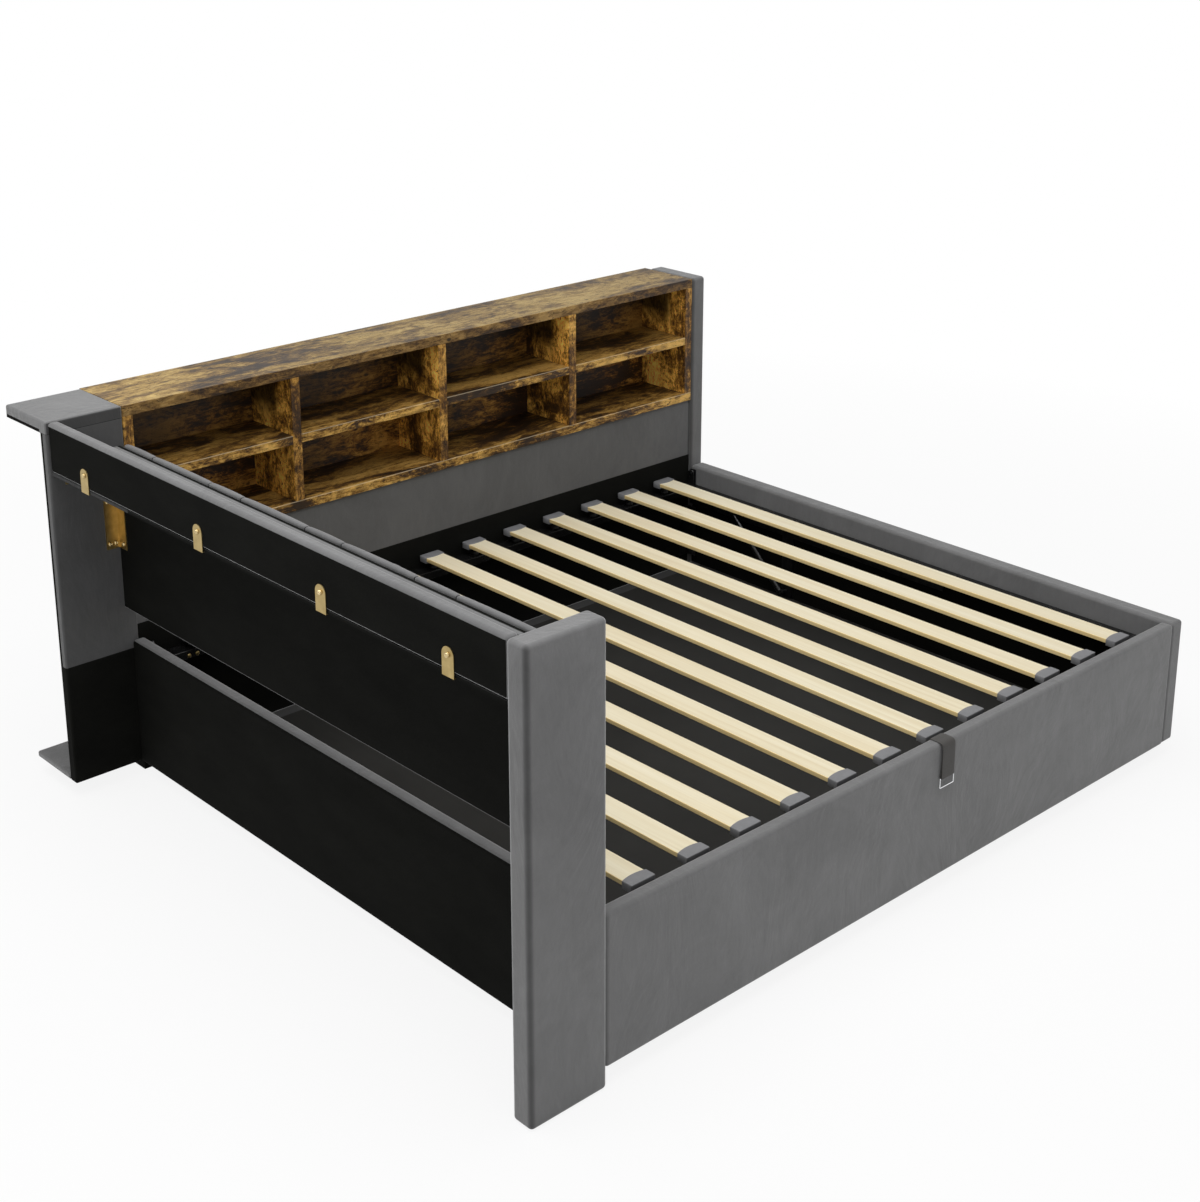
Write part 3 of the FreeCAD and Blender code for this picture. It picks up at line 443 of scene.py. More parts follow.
def rustic_wood(name, seed, along, front, tints, inner=None, rim=None, painted_light_left=False):
    """Smoky rustic boards: golden wood with dark clouds, speckle and knots; blockier front edges.

    inner is for what is seen inside the cubbies: its region and its tint of painted light and shade. rim is
    the height of the front rim, which gets a painted highlight.
    With painted light to the left, a board is paler towards its left end.
    """
    # The face and edge tints carry painted light and shade besides the wood's colour
    face_tint_and_shade, contrast, edge_tint_and_light = tints
    look = Look(name)
    offset = (seed * 1.7, seed * 0.9, seed * 2.3)

    def drawn(length):
        """Coordinates that stretch a pattern along the grain."""
        return look.stretched(tuple(length if axis == along else 1.0 for axis in "xyz"), offset)

    upright = along == "z"
    short = 2.0 if upright else 1.0
    cloud = look.noise(drawn(0.34 * short), *WOOD_CLOUD)
    mottle = look.noise(drawn(0.5 * short), *WOOD_MOTTLE)
    streak = look.noise(drawn(0.12 * short), *WOOD_STREAK)
    tone = look.total(look.product(cloud, CLOUD_SHARE), look.product(mottle, MOTTLE_SHARE))
    tone = look.total(tone, look.product(streak, STREAK_SHARE))
    colour = look.ramp(look.remap(tone, 0.3, 0.7, 0.5 - 0.2 * contrast, 0.5 + 0.2 * contrast), WOOD_TONES)
    wisp = look.noise(drawn(0.22), *WOOD_WISP)
    colour = look.mix(look.remap(wisp, 0.56, 0.66, 0.0, 0.72), colour, WISP_COLOUR)
    speck = look.noise(drawn(0.5), *WOOD_SPECK)
    colour = look.mix(look.remap(speck, 0.60, 0.66, 0.0, 0.88), colour, SPECK_COLOUR)
    knots = look.cells(drawn(0.8 if upright else 0.6), 38 if upright else 26)
    scarce = look.noise(look.place, *WOOD_KNOT_PLACES)
    common = 0.36 if upright else 0.5
    knot = look.product(look.remap(knots, 0.09, 0.18, 1.0, 0.0), look.remap(scarce, common, common + 0.06))
    colour = look.mix(look.product(knot, 0.9), colour, KNOT_COLOUR)

    block = look.cells(look.stretched((1, 0.2, 2.2), offset), 22)
    edge = look.tint(look.tint(colour, look.ramp(block, EDGE_BLOCKS), 0.8), edge_tint_and_light)
    # Painted highlight along the top of the front rim
    if rim is not None:
        wear_and_highlight = look.product(look.inside([[("z", "above", rim - RIM_DEPTH)]]), RIM_HIGHLIGHT_SHARE)
        edge = look.mix(wear_and_highlight, edge, RIM_HIGHLIGHT_COLOUR)
    face = look.tint(colour, face_tint_and_shade)
    # Painted light: the board is brighter towards its left end
    if painted_light_left:
        face = look.tint(face, look.grey_of(look.remap(look.axis("x"), *TOP_LIGHT_PLACES, *TOP_LIGHT_LEVELS)))
    # Painted light and shade inside the cubbies
    if inner:
        region, inner_shading = inner
        wall = look.tint(look.tint(colour, inner_shading), look.grey_of(cubby_shade(look, front, upright)))
        face = look.mix(look.inside([[region]]), face, wall)
    colour = look.mix(look.inside([[("y", "below", front + EDGE_DEPTH)]]), face, edge)
    look.shader.inputs["Specular IOR Level"].default_value = 0.32
    return look.done(colour, look.remap(streak, 0.3, 0.7, 0.60, 0.44), look.bump(streak, *WOOD_BUMP))


def board_wood(name, number, way):
    """The wood of one of the bookcase's boards, by its grain's way and by what of it is seen."""
    low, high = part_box(name)
    seed = 1.0 + number * 0.83
    title = name + "_wood"
    if name == "bookcase_top":
        return rustic_wood(title, seed, way, low.y, TOP_TINTS, painted_light_left=True)
    if name == "bookcase_back":
        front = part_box("bookcase_top")[0].y
        # Painted shade on the back's inner half
        inner = (("y", "below", (low.y + high.y) / 2), BACK_INNER_SHADE)
        return rustic_wood(title, seed, way, front, BACK_TINTS, inner)
    if way == "x":
        return rustic_wood(title, seed, way, low.y, LEVEL_TINTS, rim=high.z)
    if name == "bookcase_left_side":
        return rustic_wood(title, seed, way, low.y, UPRIGHT_TINTS)
    # Painted light on the faces of the uprights inside the cubbies
    inner = (("x", "below", (low.x + high.x) / 2), SIDE_INNER_LIGHT)
    return rustic_wood(title, seed, way, low.y, UPRIGHT_TINTS, inner)


def pine(name, seed, low, high):
    """Pale planed pine: soft rings along the slat, fine fibres, a rare knot and warmer sawn sides, brightened
    as painted light.
    """
    look = Look(name)
    offset = (seed * 0.37, seed * 1.9, seed * 0.11)
    ring = look.noise(look.stretched((26, 0.55, 26), offset), *PINE_RING_CLOUD)
    fibre = look.noise(look.stretched((220, 3, 220), offset), *PINE_FIBRE)
    blush = look.noise(look.stretched((1, 1, 1), offset), *PINE_BLUSH_CLOUD)
    colour = look.tint(look.ramp(ring, PINE_RINGS), look.greys(fibre, 0.3, 0.6, 0.78), 0.25)
    colour = look.tint(colour, look.ramp(blush, PINE_BLUSH), 0.3)
    knots = look.cells(look.stretched((9, 1.3, 9), offset), 1.0)
    colour = look.mix(look.remap(knots, 0.015, 0.045, 0.6, 0.0), colour, PINE_KNOT)
    # Warmer sides, also brightened as painted light
    sides = look.inside([[("x", "below", low.x + SAWN_DEPTH)], [("x", "above", high.x - SAWN_DEPTH)]])
    colour = look.mix(sides, colour, look.tint(colour, SAWN_TINT_AND_LIGHT, 0.85))
    look.shader.inputs["Specular IOR Level"].default_value = 0.25
    return look.done(colour, 0.62, look.bump(fibre, *PINE_BUMP))


# Metal, plastic, board and webbing

PAINT_PEEL = (260, 3, 0.6)
PAINT_RUB = (14, 5, 0.65)
PAINT_BUMP = (0.2, 0.4 * MM)
METAL_BLOTCH = (42, 5, 0.62)
METAL_BRUSHING = (320, 3, 0.55)
METAL_BUMP = (0.1, 0.2 * MM)
METAL_ROUGHNESS_SWING = 0.08
WARM_TINT = (1.25, 0.80, 0.42)
PLASTIC_BLOTCH = (60, 4, 0.6)
PLASTIC_PITS = (700, 2, 0.6)
PLASTIC_BUMP = (0.22, 0.4 * MM)
PLASTIC_TONES = [(0.3, (0.138, 0.139, 0.144)), (0.7, (0.175, 0.176, 0.182))]
# Painted light on the holders' sides
PLASTIC_SIDE_LIGHT = grey(1.6)
PLASTIC_SHADE = grey(0.012)
BOARD_FLECK = (480, 3, 0.7)
BOARD_CLOUD = (2.1, 4, 0.6)
BOARD_BUMP = (0.2, 0.5 * MM)
BOARD_TONES = [(0.3, (0.026, 0.0255, 0.0235)), (0.72, (0.042, 0.041, 0.038))]
# Painted light at the floor's rear: a strip of spilt light and a bright edge line, by depth and colour
LIGHT_SPILL_DEPTH = 45 * MM
LIGHT_SPILL_COLOUR = grey(0.085)
REAR_HIGHLIGHT_DEPTH = 3 * MM
REAR_HIGHLIGHT_COLOUR = grey(0.42)
WEBBING_FUZZ = (1300, 2, 0.7)
WEBBING_BUMP = (0.4, 0.5 * MM)
WEBBING_TONES = [(0.2, (0.020, 0.018, 0.016)), (0.8, (0.052, 0.047, 0.042))]
SLANTS_PER_METRE = 700
RIBS_PER_METRE = 2400
RIB_SLANT = 3.0


def painted_steel(name):
    """Black paint with a faint orange peel."""
    look = Look(name)
    orange_peel = look.noise(look.place, *PAINT_PEEL)
    rub = look.noise(look.place, *PAINT_RUB)
    colour = look.greys(rub, 0.35, 0.72, 0.005, 0.011)
    return look.done(colour, look.remap(rub, 0.3, 0.7, 0.2, 0.3), look.bump(orange_peel, *PAINT_BUMP))


def bare_metal(name, low, high, roughness, warm_below=None):
    """Plated or drawn metal with faint blotches, more orange below a level."""
    look = Look(name)
    blotch = look.noise(look.place, *METAL_BLOTCH)
    brushed = look.noise(look.place, *METAL_BRUSHING)
    colour = look.ramp(blotch, [(0.3, low), (0.7, high)])
    if warm_below is not None:
        colour = look.mix(look.inside([[("z", "below", warm_below)]]), colour, look.tint(colour, WARM_TINT))
    look.shader.inputs["Metallic"].default_value = 1.0
    smoothest = roughness - METAL_ROUGHNESS_SWING
    roughest = roughness + METAL_ROUGHNESS_SWING
    rough = look.remap(brushed, 0.3, 0.7, smoothest, roughest)
    return look.done(colour, rough, look.bump(brushed, *METAL_BUMP))


def moulded_plastic(name, dark_below, sides=()):
    """Grey holders: matt moulded plastic, paler in the region of its sides as painted light, and black below a
    level as painted shade.
    """
    look = Look(name)
    blotch = look.noise(look.place, *PLASTIC_BLOTCH)
    pits = look.noise(look.place, *PLASTIC_PITS)
    colour = look.ramp(blotch, PLASTIC_TONES)
    if sides:
        colour = look.mix(look.inside([sides]), colour, look.tint(colour, PLASTIC_SIDE_LIGHT))
    colour = look.mix(look.inside([[("z", "below", dark_below)]]), colour, PLASTIC_SHADE)
    return look.done(colour, look.remap(blotch, 0.3, 0.7, 0.5, 0.62), look.bump(pits, *PLASTIC_BUMP))


def floor_board(name, rear):
    """Dark laminate with painted light at the rear: a paler strip of spilt light and a bright line along its
    edge.
    """
    look = Look(name)
    fleck = look.noise(look.place, *BOARD_FLECK)
    cloud = look.noise(look.place, *BOARD_CLOUD)
    colour = look.ramp(cloud, BOARD_TONES)
    # Painted light along the rear: a paler strip and a bright edge line
    for depth, painted_light in ((LIGHT_SPILL_DEPTH, LIGHT_SPILL_COLOUR), (REAR_HIGHLIGHT_DEPTH, REAR_HIGHLIGHT_COLOUR)):
        colour = look.mix(look.inside([[("y", "above", rear - depth)]]), colour, painted_light)
    colour = look.tint(colour, look.greys(fleck, 0.35, 0.7, 0.5), 0.5)
    look.shader.inputs["Specular IOR Level"].default_value = 0.2
    return look.done(colour, look.remap(fleck, 0.3, 0.7, 0.62, 0.8), look.bump(fleck, *BOARD_BUMP))


def webbing(name):
    """Dark strap: herringbone ribs across the width and a little fuzz."""
    look = Look(name)
    slant = look.math("ABSOLUTE", look.math("SINE", look.product(look.axis("x"), SLANTS_PER_METRE)))
    lengths = [look.product(look.axis(axis), RIBS_PER_METRE) for axis in "zy"]
    rib = look.math("SINE", look.total(look.total(*lengths), look.product(slant, RIB_SLANT)))
    fuzz = look.noise(look.place, *WEBBING_FUZZ)
    colour = look.tint(look.ramp(rib, WEBBING_TONES), look.greys(fuzz, 0.3, 0.7, 0.6), 0.3)
    look.shader.inputs["Sheen Weight"].default_value = 0.1
    return look.done(colour, 0.72, look.bump(rib, *WEBBING_BUMP))


# Dressing of the CAD nodes

def dress(name, material):
    """Gives a node one material."""
    item = NODES[name]
    item.data.materials.clear()
    item.data.materials.append(material)


rail_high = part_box("left_rail")[1]
front_low, front_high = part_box("front_rail")
end_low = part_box("end_rail")[0]
beam_low, beam_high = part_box("headboard_beam")
panel_low, panel_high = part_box("column_front_panel")
plate_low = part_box("column_top_plate")[0]
base_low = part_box("column_base_plate")[0]
board_low, board_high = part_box("headboard_board")
cushion_low, cushion_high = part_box("headboard_cushion")
ledge_low, ledge_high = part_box("headboard_ledge")
rear_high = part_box("rear_panel")[1]
rail_line = rail_high.z - VELVET_EDGE
column_reach = panel_low.y - LEDGE_VELVET_LENGTH

# Painted shade darkens each post along its upright corner at its lowest x and y
for name, title, seed in (("front_left_post", "post_velvet", 1.0),
                          ("rear_right_post", "far_post_velvet", 2.0)):
    post_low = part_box(name)[0]
    dress(name, velvet(title, seed, corner_shade=(post_low.x, post_low.y)))
dress("left_rail", velvet("left_rail_velvet", 3.0, [[("z", "below", rail_high.z - LEFT_RAIL_EDGE)]]))
dress("front_rail", velvet("front_rail_velvet", 4.0, [
    [("z", "below", rail_line), ("y", "above", front_high.y - SKIN)],
    [("z", "below", front_low.z + SKIN)]]))
dress("end_rail", velvet("end_rail_velvet", 5.0, [
    [("z", "below", END_LINING_TOP), ("x", "below", end_low.x + SKIN)],
    [("z", "below", end_low.z + SKIN)]]))
dress("headboard_beam", velvet("beam_velvet", 6.0, [
    [("z", "below", beam_high.z - VELVET_EDGE), ("x", "below", beam_low.x + SKIN)],
    [("z", "below", beam_low.z + SKIN)]]))
# Painted shade: the column's front panel is dimmed all over to stand for the shadow that it stands in
dress("column_front_panel", velvet("column_velvet", 7.0, [
    [("z", "below", COLUMN_LINING_TOP)],
    [("y", "above", panel_high.y - BLACK_BACKING)]], shade_level=0.59))
# Painted shade: the plate's front face is darkened to stand for the shadow that it is in
dress("column_top_plate", velvet("column_top_velvet", 8.0, [
    [("z", "below", plate_low.z + COLUMN_TOP_EDGE), ("y", "above", panel_high.y)],
    [("z", "below", plate_low.z + SKIN)]], shade_regions=[[("y", "below", plate_low.y + SKIN)]]))
dress("column_base_plate", velvet("column_base_velvet", 9.0, [
    [("z", "below", base_low.z + COLUMN_BASE_EDGE)]]))
# Painted shade: the rear panel is dimmed all over, and more at its right end beside the bookcase
dress("rear_panel", velvet("rear_panel_velvet", 10.0, [[("z", "below", REAR_LINING_TOP)]], shade_level=0.75,
                           shade_regions=[[("x", "above", rear_high.x - REAR_PANEL_SHADE)]]))
for name, seed in (("headboard_end_panel", 2.0), ("bookcase_supports", 3.0)):
    dress(name, lining(name + "_lining", seed))
dress("headboard_board", velvet("board_cloth", 13.0, [
    [("z", "below", board_high.z - BOARD_TOP_EDGE), ("z", "above", board_low.z + BOARD_LOW_EDGE)],
    [("x", "above", board_high.x - BOARD_FACE_EDGE)]]))
# Painted shade: the ledge cloth is dimmed all over
dress("headboard_ledge", velvet("ledge_cloth", 12.0, [
    [("z", "below", ledge_high.z - LEDGE_TOP_EDGE), ("y", "below", column_reach)],
    [("x", "above", ledge_low.x + LEDGE_SIDE_EDGE), ("y", "below", column_reach)]], shade_level=0.22))
dress("storage_floor", floor_board("storage_board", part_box("storage_floor")[1].y))

# The way of each board's grain; a board's place in the list sets its pattern
grain_ways = {"bookcase_top": "x", "bookcase_bottom": "x", "bookcase_back": "x",
              "bookcase_left_side": "z", "bookcase_right_side": "z"}
for number in range(1, 4):
    grain_ways[f"bookcase_divider_{number}"] = "z"
for number in range(1, 5):
    grain_ways[f"bookcase_shelf_{number}"] = "x"
for number, (name, way) in enumerate(grain_ways.items()):
    dress(name, board_wood(name, number, way))
SLATS = [f"slat_{number:02d}" for number in range(1, 13)]
for number, name in enumerate(SLATS, 1):
    dress(name, pine(f"slat_pine_{number:02d}", number * 1.31, *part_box(name)))

gilt = bare_metal("gilt_steel", (0.37, 0.272, 0.108), (0.49, 0.370, 0.160), 0.38)
dark_gilt = bare_metal("dark_gilt_steel", (0.42, 0.295, 0.105), (0.60, 0.430, 0.170), 0.4)
zinc = bare_metal("zinc_steel", (0.045, 0.045, 0.047), (0.085, 0.085, 0.088), 0.42)
chrome = bare_metal("chrome", (0.66, 0.67, 0.68), (0.78, 0.79, 0.80), 0.16)
dark_chrome = bare_metal("dark_chrome", (0.10, 0.10, 0.105), (0.16, 0.16, 0.165), 0.3)
black_steel = painted_steel("black_steel")
foot_plastic = moulded_plastic("foot_plastic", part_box("floor_feet")[1].z)
for material, names in (
        (gilt, ["hook_plates"]),
        (dark_gilt, ["corner_brackets"]),
        (zinc, ["rail_brackets", "rail_bracket_bolts", "side_plates"]),
        (chrome, ["pull_ring"]),
        (dark_chrome, ["left_spring_rod", "right_spring_rod"]),
        (black_steel, ["lift_tube_front", "lift_tube_rear", "lift_tube_left", "lift_tube_right",
                       "lift_brackets", "left_spring_cylinder", "right_spring_cylinder"]),
        (foot_plastic, ["floor_feet"])):
    for name in names:
        dress(name, material)


# Meshes

def mesh_piece(name, build, material, smooth=True):
    """A new mesh object from a bmesh that build fills in."""
    mesh = bpy.data.meshes.new(name)
    bm = bmesh.new()
    build(bm)
    bmesh.ops.recalc_face_normals(bm, faces=bm.faces)
    bm.to_mesh(mesh)
    bm.free()
    for face in mesh.polygons:
        face.use_smooth = smooth
    item = bpy.data.objects.new(name, mesh)
    bpy.context.collection.objects.link(item)
    mesh.materials.append(material)
    return item


def closed_grid(bm, rows):
    """Quads between rings of points, with a face over the first and the last ring."""
    rings = [[bm.verts.new(point) for point in row] for row in rows]
    for first, second in zip(rings, rings[1:]):
        count = len(first)
        for number in range(count):
            following = (number + 1) % count
            bm.faces.new((first[number], first[following], second[following], second[number]))
    bm.faces.new(rings[0])
    bm.faces.new(list(reversed(rings[-1])))


def round_angles(sides):
    """The angles of a ring of points."""
    return [math.tau * side / sides for side in range(sides)]


# Headboard cushion: velvet over foam, sewn into upright channels and wrapped over the board

NARROW_CHANNEL = 146 * MM
WIDE_CHANNEL = 275 * MM
FACE_ROOM = 4 * MM
BACK_ROOM = 0.4 * MM
BOTTOM_ROOM = 1.5 * MM
TOP_RISE = 2.2 * MM
ROUND_BOTTOM = 11 * MM
ROUND_TOP = 12 * MM
ROUND_BACK = 5 * MM
FACE_STEPS = 22
BACK_STEPS = 11
ROUND_STEPS = 6
TOP_ROUND_STEPS = 7
# Distances from a seam, in millimetres, and the widest share of a channel that they may take
SEAM_STEPS = (0, 0.5, 1.0, 1.7, 2.8, 4.5, 7, 11, 17, 26, 38, 54, 74, 100)
SEAM_STEPS_SHARE = 0.46
CREASE_DEPTH = 3.6 * MM
CREASE_WIDTH = 2.0 * MM
SWELL_WIDTH = 20 * MM
SWELL_SHARE = 0.72
EDGE_CROWN = 1.0 * MM
FACE_CROWN_GAIN = 6.0
# The crown fades over the top stretch of the face, down to a share of itself
CROWN_FADE = 5
CROWN_TOP_SHARE = 0.25
# Long waves and short puckers: depth, width beside a seam and count per metre along each axis
WAVE_DEPTH = 1.2 * MM
WAVES_ALONG = 4
WAVES_UP = 5
WAVE_START = 3
WAVE_LAYER = 7
PUCKER_DEPTH = 0.7 * MM
PUCKER_WIDTH = 9 * MM
PUCKERS_ACROSS = 9
PUCKERS_ALONG = 50
PUCKERS_UP = 30
EDGE_RELIEF_SHARE = 0.25


def channel_seams():
    """Where the seams lie along Y, from the rear end, and the two ends."""
    seams = [cushion_high.y]
    widths = (NARROW_CHANNEL, WIDE_CHANNEL)
    while seams[-1] - widths[(len(seams) - 1) % 2] > cushion_low.y:
        seams.append(seams[-1] - widths[(len(seams) - 1) % 2])
    seams.append(cushion_low.y)
    return seams


def cushion_outline():
    """The cushion's cross-section without a crown: points (x, z) with outward directions."""
    face = cushion_high.x - FACE_ROOM
    back = cushion_low.x + BACK_ROOM
    bottom = cushion_low.z + BOTTOM_ROOM
    top = cushion_high.z + TOP_RISE
    points = []

    def arc(centre_x, centre_z, radius, start, end, steps):
        for step in range(steps + 1):
            angle = math.radians(start + (end - start) * step / steps)
            points.append((centre_x + radius * math.cos(angle), centre_z + radius * math.sin(angle),
                           math.cos(angle), math.sin(angle)))

    low = bottom + ROUND_BOTTOM
    high = top - ROUND_TOP
    arc(face - ROUND_BOTTOM, low, ROUND_BOTTOM, -90, 0, ROUND_STEPS)
    for step in range(1, FACE_STEPS):
        points.append((face, low + (high - low) * step / FACE_STEPS, 1.0, 0.0))
    arc(face - ROUND_TOP, high, ROUND_TOP, 0, 90, TOP_ROUND_STEPS)
    arc(back + ROUND_BACK, top - ROUND_BACK, ROUND_BACK, 90, 180, ROUND_STEPS)
    for step in range(1, BACK_STEPS + 1):
        height = (top - ROUND_BACK) + (bottom - top + ROUND_BACK) * step / BACK_STEPS
        points.append((back, height, 0.0, 0.0))
    return points


def across_channel(width):
    """Offsets across a channel, close together beside both seams."""
    near = [step * MM for step in SEAM_STEPS if step * MM < SEAM_STEPS_SHARE * width]
    return near + [0.5 * width] + [width - step for step in reversed(near)]


def build_cushion(bm):
    """The padded channels: each swells from its seams, with creases and puckers beside them."""
    seams = channel_seams()
    outline = cushion_outline()
    rows = []
    for start, end in zip(seams, seams[1:]):
        width = start - end
        offsets = across_channel(width)
        if end != seams[-1]:
            offsets = offsets[:-1]
        for offset in offsets:
            y = start - offset
            seam_gap = min(offset, width - offset)
            crease = math.exp(-seam_gap / CREASE_WIDTH)
            swell = 1 - math.exp(-seam_gap / SWELL_WIDTH)
            dome = SWELL_SHARE * swell + (1 - SWELL_SHARE) * math.sin(math.pi * offset / width)
            row = []
            for x, z, out_x, out_z in outline:
                height_share = (z - cushion_low.z) / (cushion_high.z - cushion_low.z)
                facing = max(0.0, out_x) * min(1.0, CROWN_FADE * (1 - height_share) + CROWN_TOP_SHARE)
                wave = noise.noise(Vector((y * WAVES_ALONG + WAVE_START, z * WAVES_UP, WAVE_LAYER)))
                wave *= WAVE_DEPTH * swell
                pucker = noise.noise(Vector((x * PUCKERS_ACROSS, y * PUCKERS_ALONG, z * PUCKERS_UP)))
                pucker *= PUCKER_DEPTH * math.exp(-seam_gap / PUCKER_WIDTH)
                grow = (1.0 + FACE_CROWN_GAIN * facing) * EDGE_CROWN * dome - CREASE_DEPTH * crease
                grow += (wave + pucker) * (EDGE_RELIEF_SHARE + (1 - EDGE_RELIEF_SHARE) * facing)
                row.append(Vector((x + out_x * grow, y, z + out_z * grow)))
            rows.append(row)
    closed_grid(bm, rows)


cushion_velvet = velvet("cushion_velvet", 11.0, seams=channel_seams()[1:-1])
cushion = mesh_piece("channel_cushion", build_cushion, cushion_velvet)
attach(cushion, "bed_base")
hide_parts("headboard_cushion")


# Moulded holders at both ends of each slat, with a bowed inner edge and a peg in the tube

HOLDER_HALF = 36 * MM
HOLDER_LENGTH = 30 * MM
HOLDER_CORNER = 2.5 * MM
HOLDER_BOW = 6 * MM
HOLDER_LIFT = 24 * MM
HOLDER_SHADE = 5 * MM
SIDE_TOP_EDGE = 1.6 * MM
SIDE_END_EDGE = 1.5 * MM
CORNER_STEPS = 4
BOW_STEPS = 12
PEG_PLACE = 20 * MM
PEG_SIDES = 16
# Rings of (radius in millimetres, height above the tube)
PEG_RINGS = ((8.0, 24.5 * MM), (8.0, 7 * MM), (11.5, 6 * MM), (12.0, 0.3 * MM))
# The block's rolled edges as (inset in millimetres, rise above its foot) and (inset, drop from its top)
FOOT_ROLL = ((0.6, 0), (0.0, 1.0 * MM))
TOP_ROLL = ((0.0, 2.2 * MM), (0.1, 1.4 * MM), (0.5, 0.6 * MM), (1.1, 0.2 * MM), (2.0, 0))
caps_low, caps_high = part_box("slat_caps")
slat_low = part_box("slat_01")[0]
tube_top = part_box("lift_tube_front")[1].z


def holder_outline(inset):
    """Half-turned outline of a holder's block: points (across, inward) with round corners."""
    half = HOLDER_HALF - inset
    points = []
    for centre, start in ((-half + HOLDER_CORNER, 180), (half - HOLDER_CORNER, 270)):
        for step in range(CORNER_STEPS + 1):
            angle = math.radians(start + 90 * step / CORNER_STEPS)
            points.append((centre + HOLDER_CORNER * math.cos(angle),
                           inset + HOLDER_CORNER + HOLDER_CORNER * math.sin(angle)))
    for step in range(BOW_STEPS + 1):
        across = half * (1 - 2 * step / BOW_STEPS)
        points.append((across, HOLDER_LENGTH - inset + HOLDER_BOW * (1 - (across / half) ** 2)))
    return points


def build_holders(bm):
    """All holders: a block with a rolled upper edge, and a flanged peg below it."""
    base = tube_top + HOLDER_LIFT
    levels = [(inset, base + rise) for inset, rise in FOOT_ROLL]
    levels += [(inset, caps_high.z - drop) for inset, drop in TOP_ROLL]
    for name in SLATS:
        low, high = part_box(name)
        middle = (low.x + high.x) / 2
        for outer, inward in ((caps_low.y, 1), (caps_high.y, -1)):
            closed_grid(bm, [[Vector((middle + across * inward, outer + along * inward, level))
                              for across, along in holder_outline(inset * MM)] for inset, level in levels])
            peg_y = outer + PEG_PLACE * inward
            closed_grid(bm, [[Vector((middle + radius * MM * math.cos(angle),
                                      peg_y + radius * MM * math.sin(angle), tube_top + rise))
                              for angle in round_angles(PEG_SIDES)] for radius, rise in PEG_RINGS])


# Painted light on the holders' sides, and painted shade below the slats
holder_lit_sides = [("z", "below", caps_high.z - SIDE_TOP_EDGE), ("y", "above", caps_low.y + SIDE_END_EDGE),
                ("y", "below", caps_high.y - SIDE_END_EDGE)]
cap_plastic = moulded_plastic("cap_plastic", slat_low.z - HOLDER_SHADE, holder_lit_sides)
holders = mesh_piece("slat_holders", build_holders, cap_plastic)
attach(holders, "lift_base")
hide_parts("slat_caps")


# Domed cross-head screws of the hooks and angles, one on each of the solids' heads

# Rings of (radius share, height and depth of the recess in millimetres)
HEAD_RINGS = ((1.0, -0.3, 0), (1.0, 0.7, 0), (0.95, 1.5, 0), (0.83, 2.2, 0), (0.66, 2.7, 0),
              (0.58, 2.85, 0.1), (0.52, 2.9, 1.3), (0.30, 3.0, 1.5), (0.12, 3.0, 1.6))
HEAD_SIDES = 24
SLOT_SIDES = 6
SLOT_MIDDLE_SHARE = 0.2
HEAD_TURN = 37


def head_places():
    """The middle of each head's foot, with its outward direction and radius."""
    bm = bmesh.new()
    bm.from_mesh(NODES["headboard_screws"].data)
    left = set(bm.verts)
    places = []
    while left:
        found = {left.pop()}
        edge = set(found)
        while edge:
            edge = {other for vert in edge for link in vert.link_edges for other in link.verts} & left
            left -= edge
            found |= edge
        low = Vector(min(vert.co[axis] for vert in found) for axis in range(3))
        high = Vector(max(vert.co[axis] for vert in found) for axis in range(3))
        size = high - low
        thin_axis = min(range(3), key=lambda axis: size[axis])
        out = Vector((0, 0, 0))
        out[thin_axis] = -1.0 if thin_axis == 0 or low.y > 0 else 1.0
        foot = (low + high) / 2 - out * size[thin_axis] / 2
        places.append((foot, out, max(size) / 2))
    bm.free()
    return sorted(places, key=lambda place: tuple(place[0]))


def build_heads(bm):
    """Pan heads with a cross recess, each turned its own way."""
    for number, (foot, out, radius) in enumerate(head_places()):
        up = Vector((0, 0, 1))
        across = up.cross(out)
        turn = math.radians(HEAD_TURN * number)
        rows = []
        for share, height, recess in HEAD_RINGS:
            row = []
            for side in range(HEAD_SIDES):
                angle = turn + math.tau * side / HEAD_SIDES
                deep = recess if side % SLOT_SIDES == 0 or share < SLOT_MIDDLE_SHARE else 0.0
                row.append(foot + (across * math.cos(angle) + up * math.sin(angle)) * radius * share
                           + out * (height - deep) * MM)
            rows.append(row)
        closed_grid(bm, rows)


screw_gilt = bare_metal("screw_gilt", (0.52, 0.40, 0.20), (0.74, 0.59, 0.33), 0.26, board_low.z)
heads = mesh_piece("cross_head_screws", build_heads, screw_gilt)
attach(heads, "bed_base")
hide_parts("headboard_screws")


# Two screws in the rear tube's front face

SCREW_PLACES = (101 * MM, 127 * MM)
SCREW_DROP = 16 * MM
SCREW_SIDES = 14
# Rings of (radius, height) in millimetres
SCREW_RINGS = ((6.5, -0.4), (6.4, 1.2), (5.4, 2.5), (3.2, 3.4), (1.0, 3.7))


def build_screws(bm):
    """Two domed heads."""
    tube_low, tube_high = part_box("lift_tube_rear")
    left_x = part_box("lift_tube_left")[0].x
    height = tube_high.z - SCREW_DROP
    for place in SCREW_PLACES:
        closed_grid(bm, [[Vector((left_x + place + radius * MM * math.cos(angle), tube_low.y - out * MM,
                                  height + radius * MM * math.sin(angle)))
                          for angle in round_angles(SCREW_SIDES)] for radius, out in SCREW_RINGS])


tube_screws = mesh_piece("tube_screws", build_screws, gilt)
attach(tube_screws, "lift_base")


# Pull strap: webbing from the front tube over the rail, looped round the ring

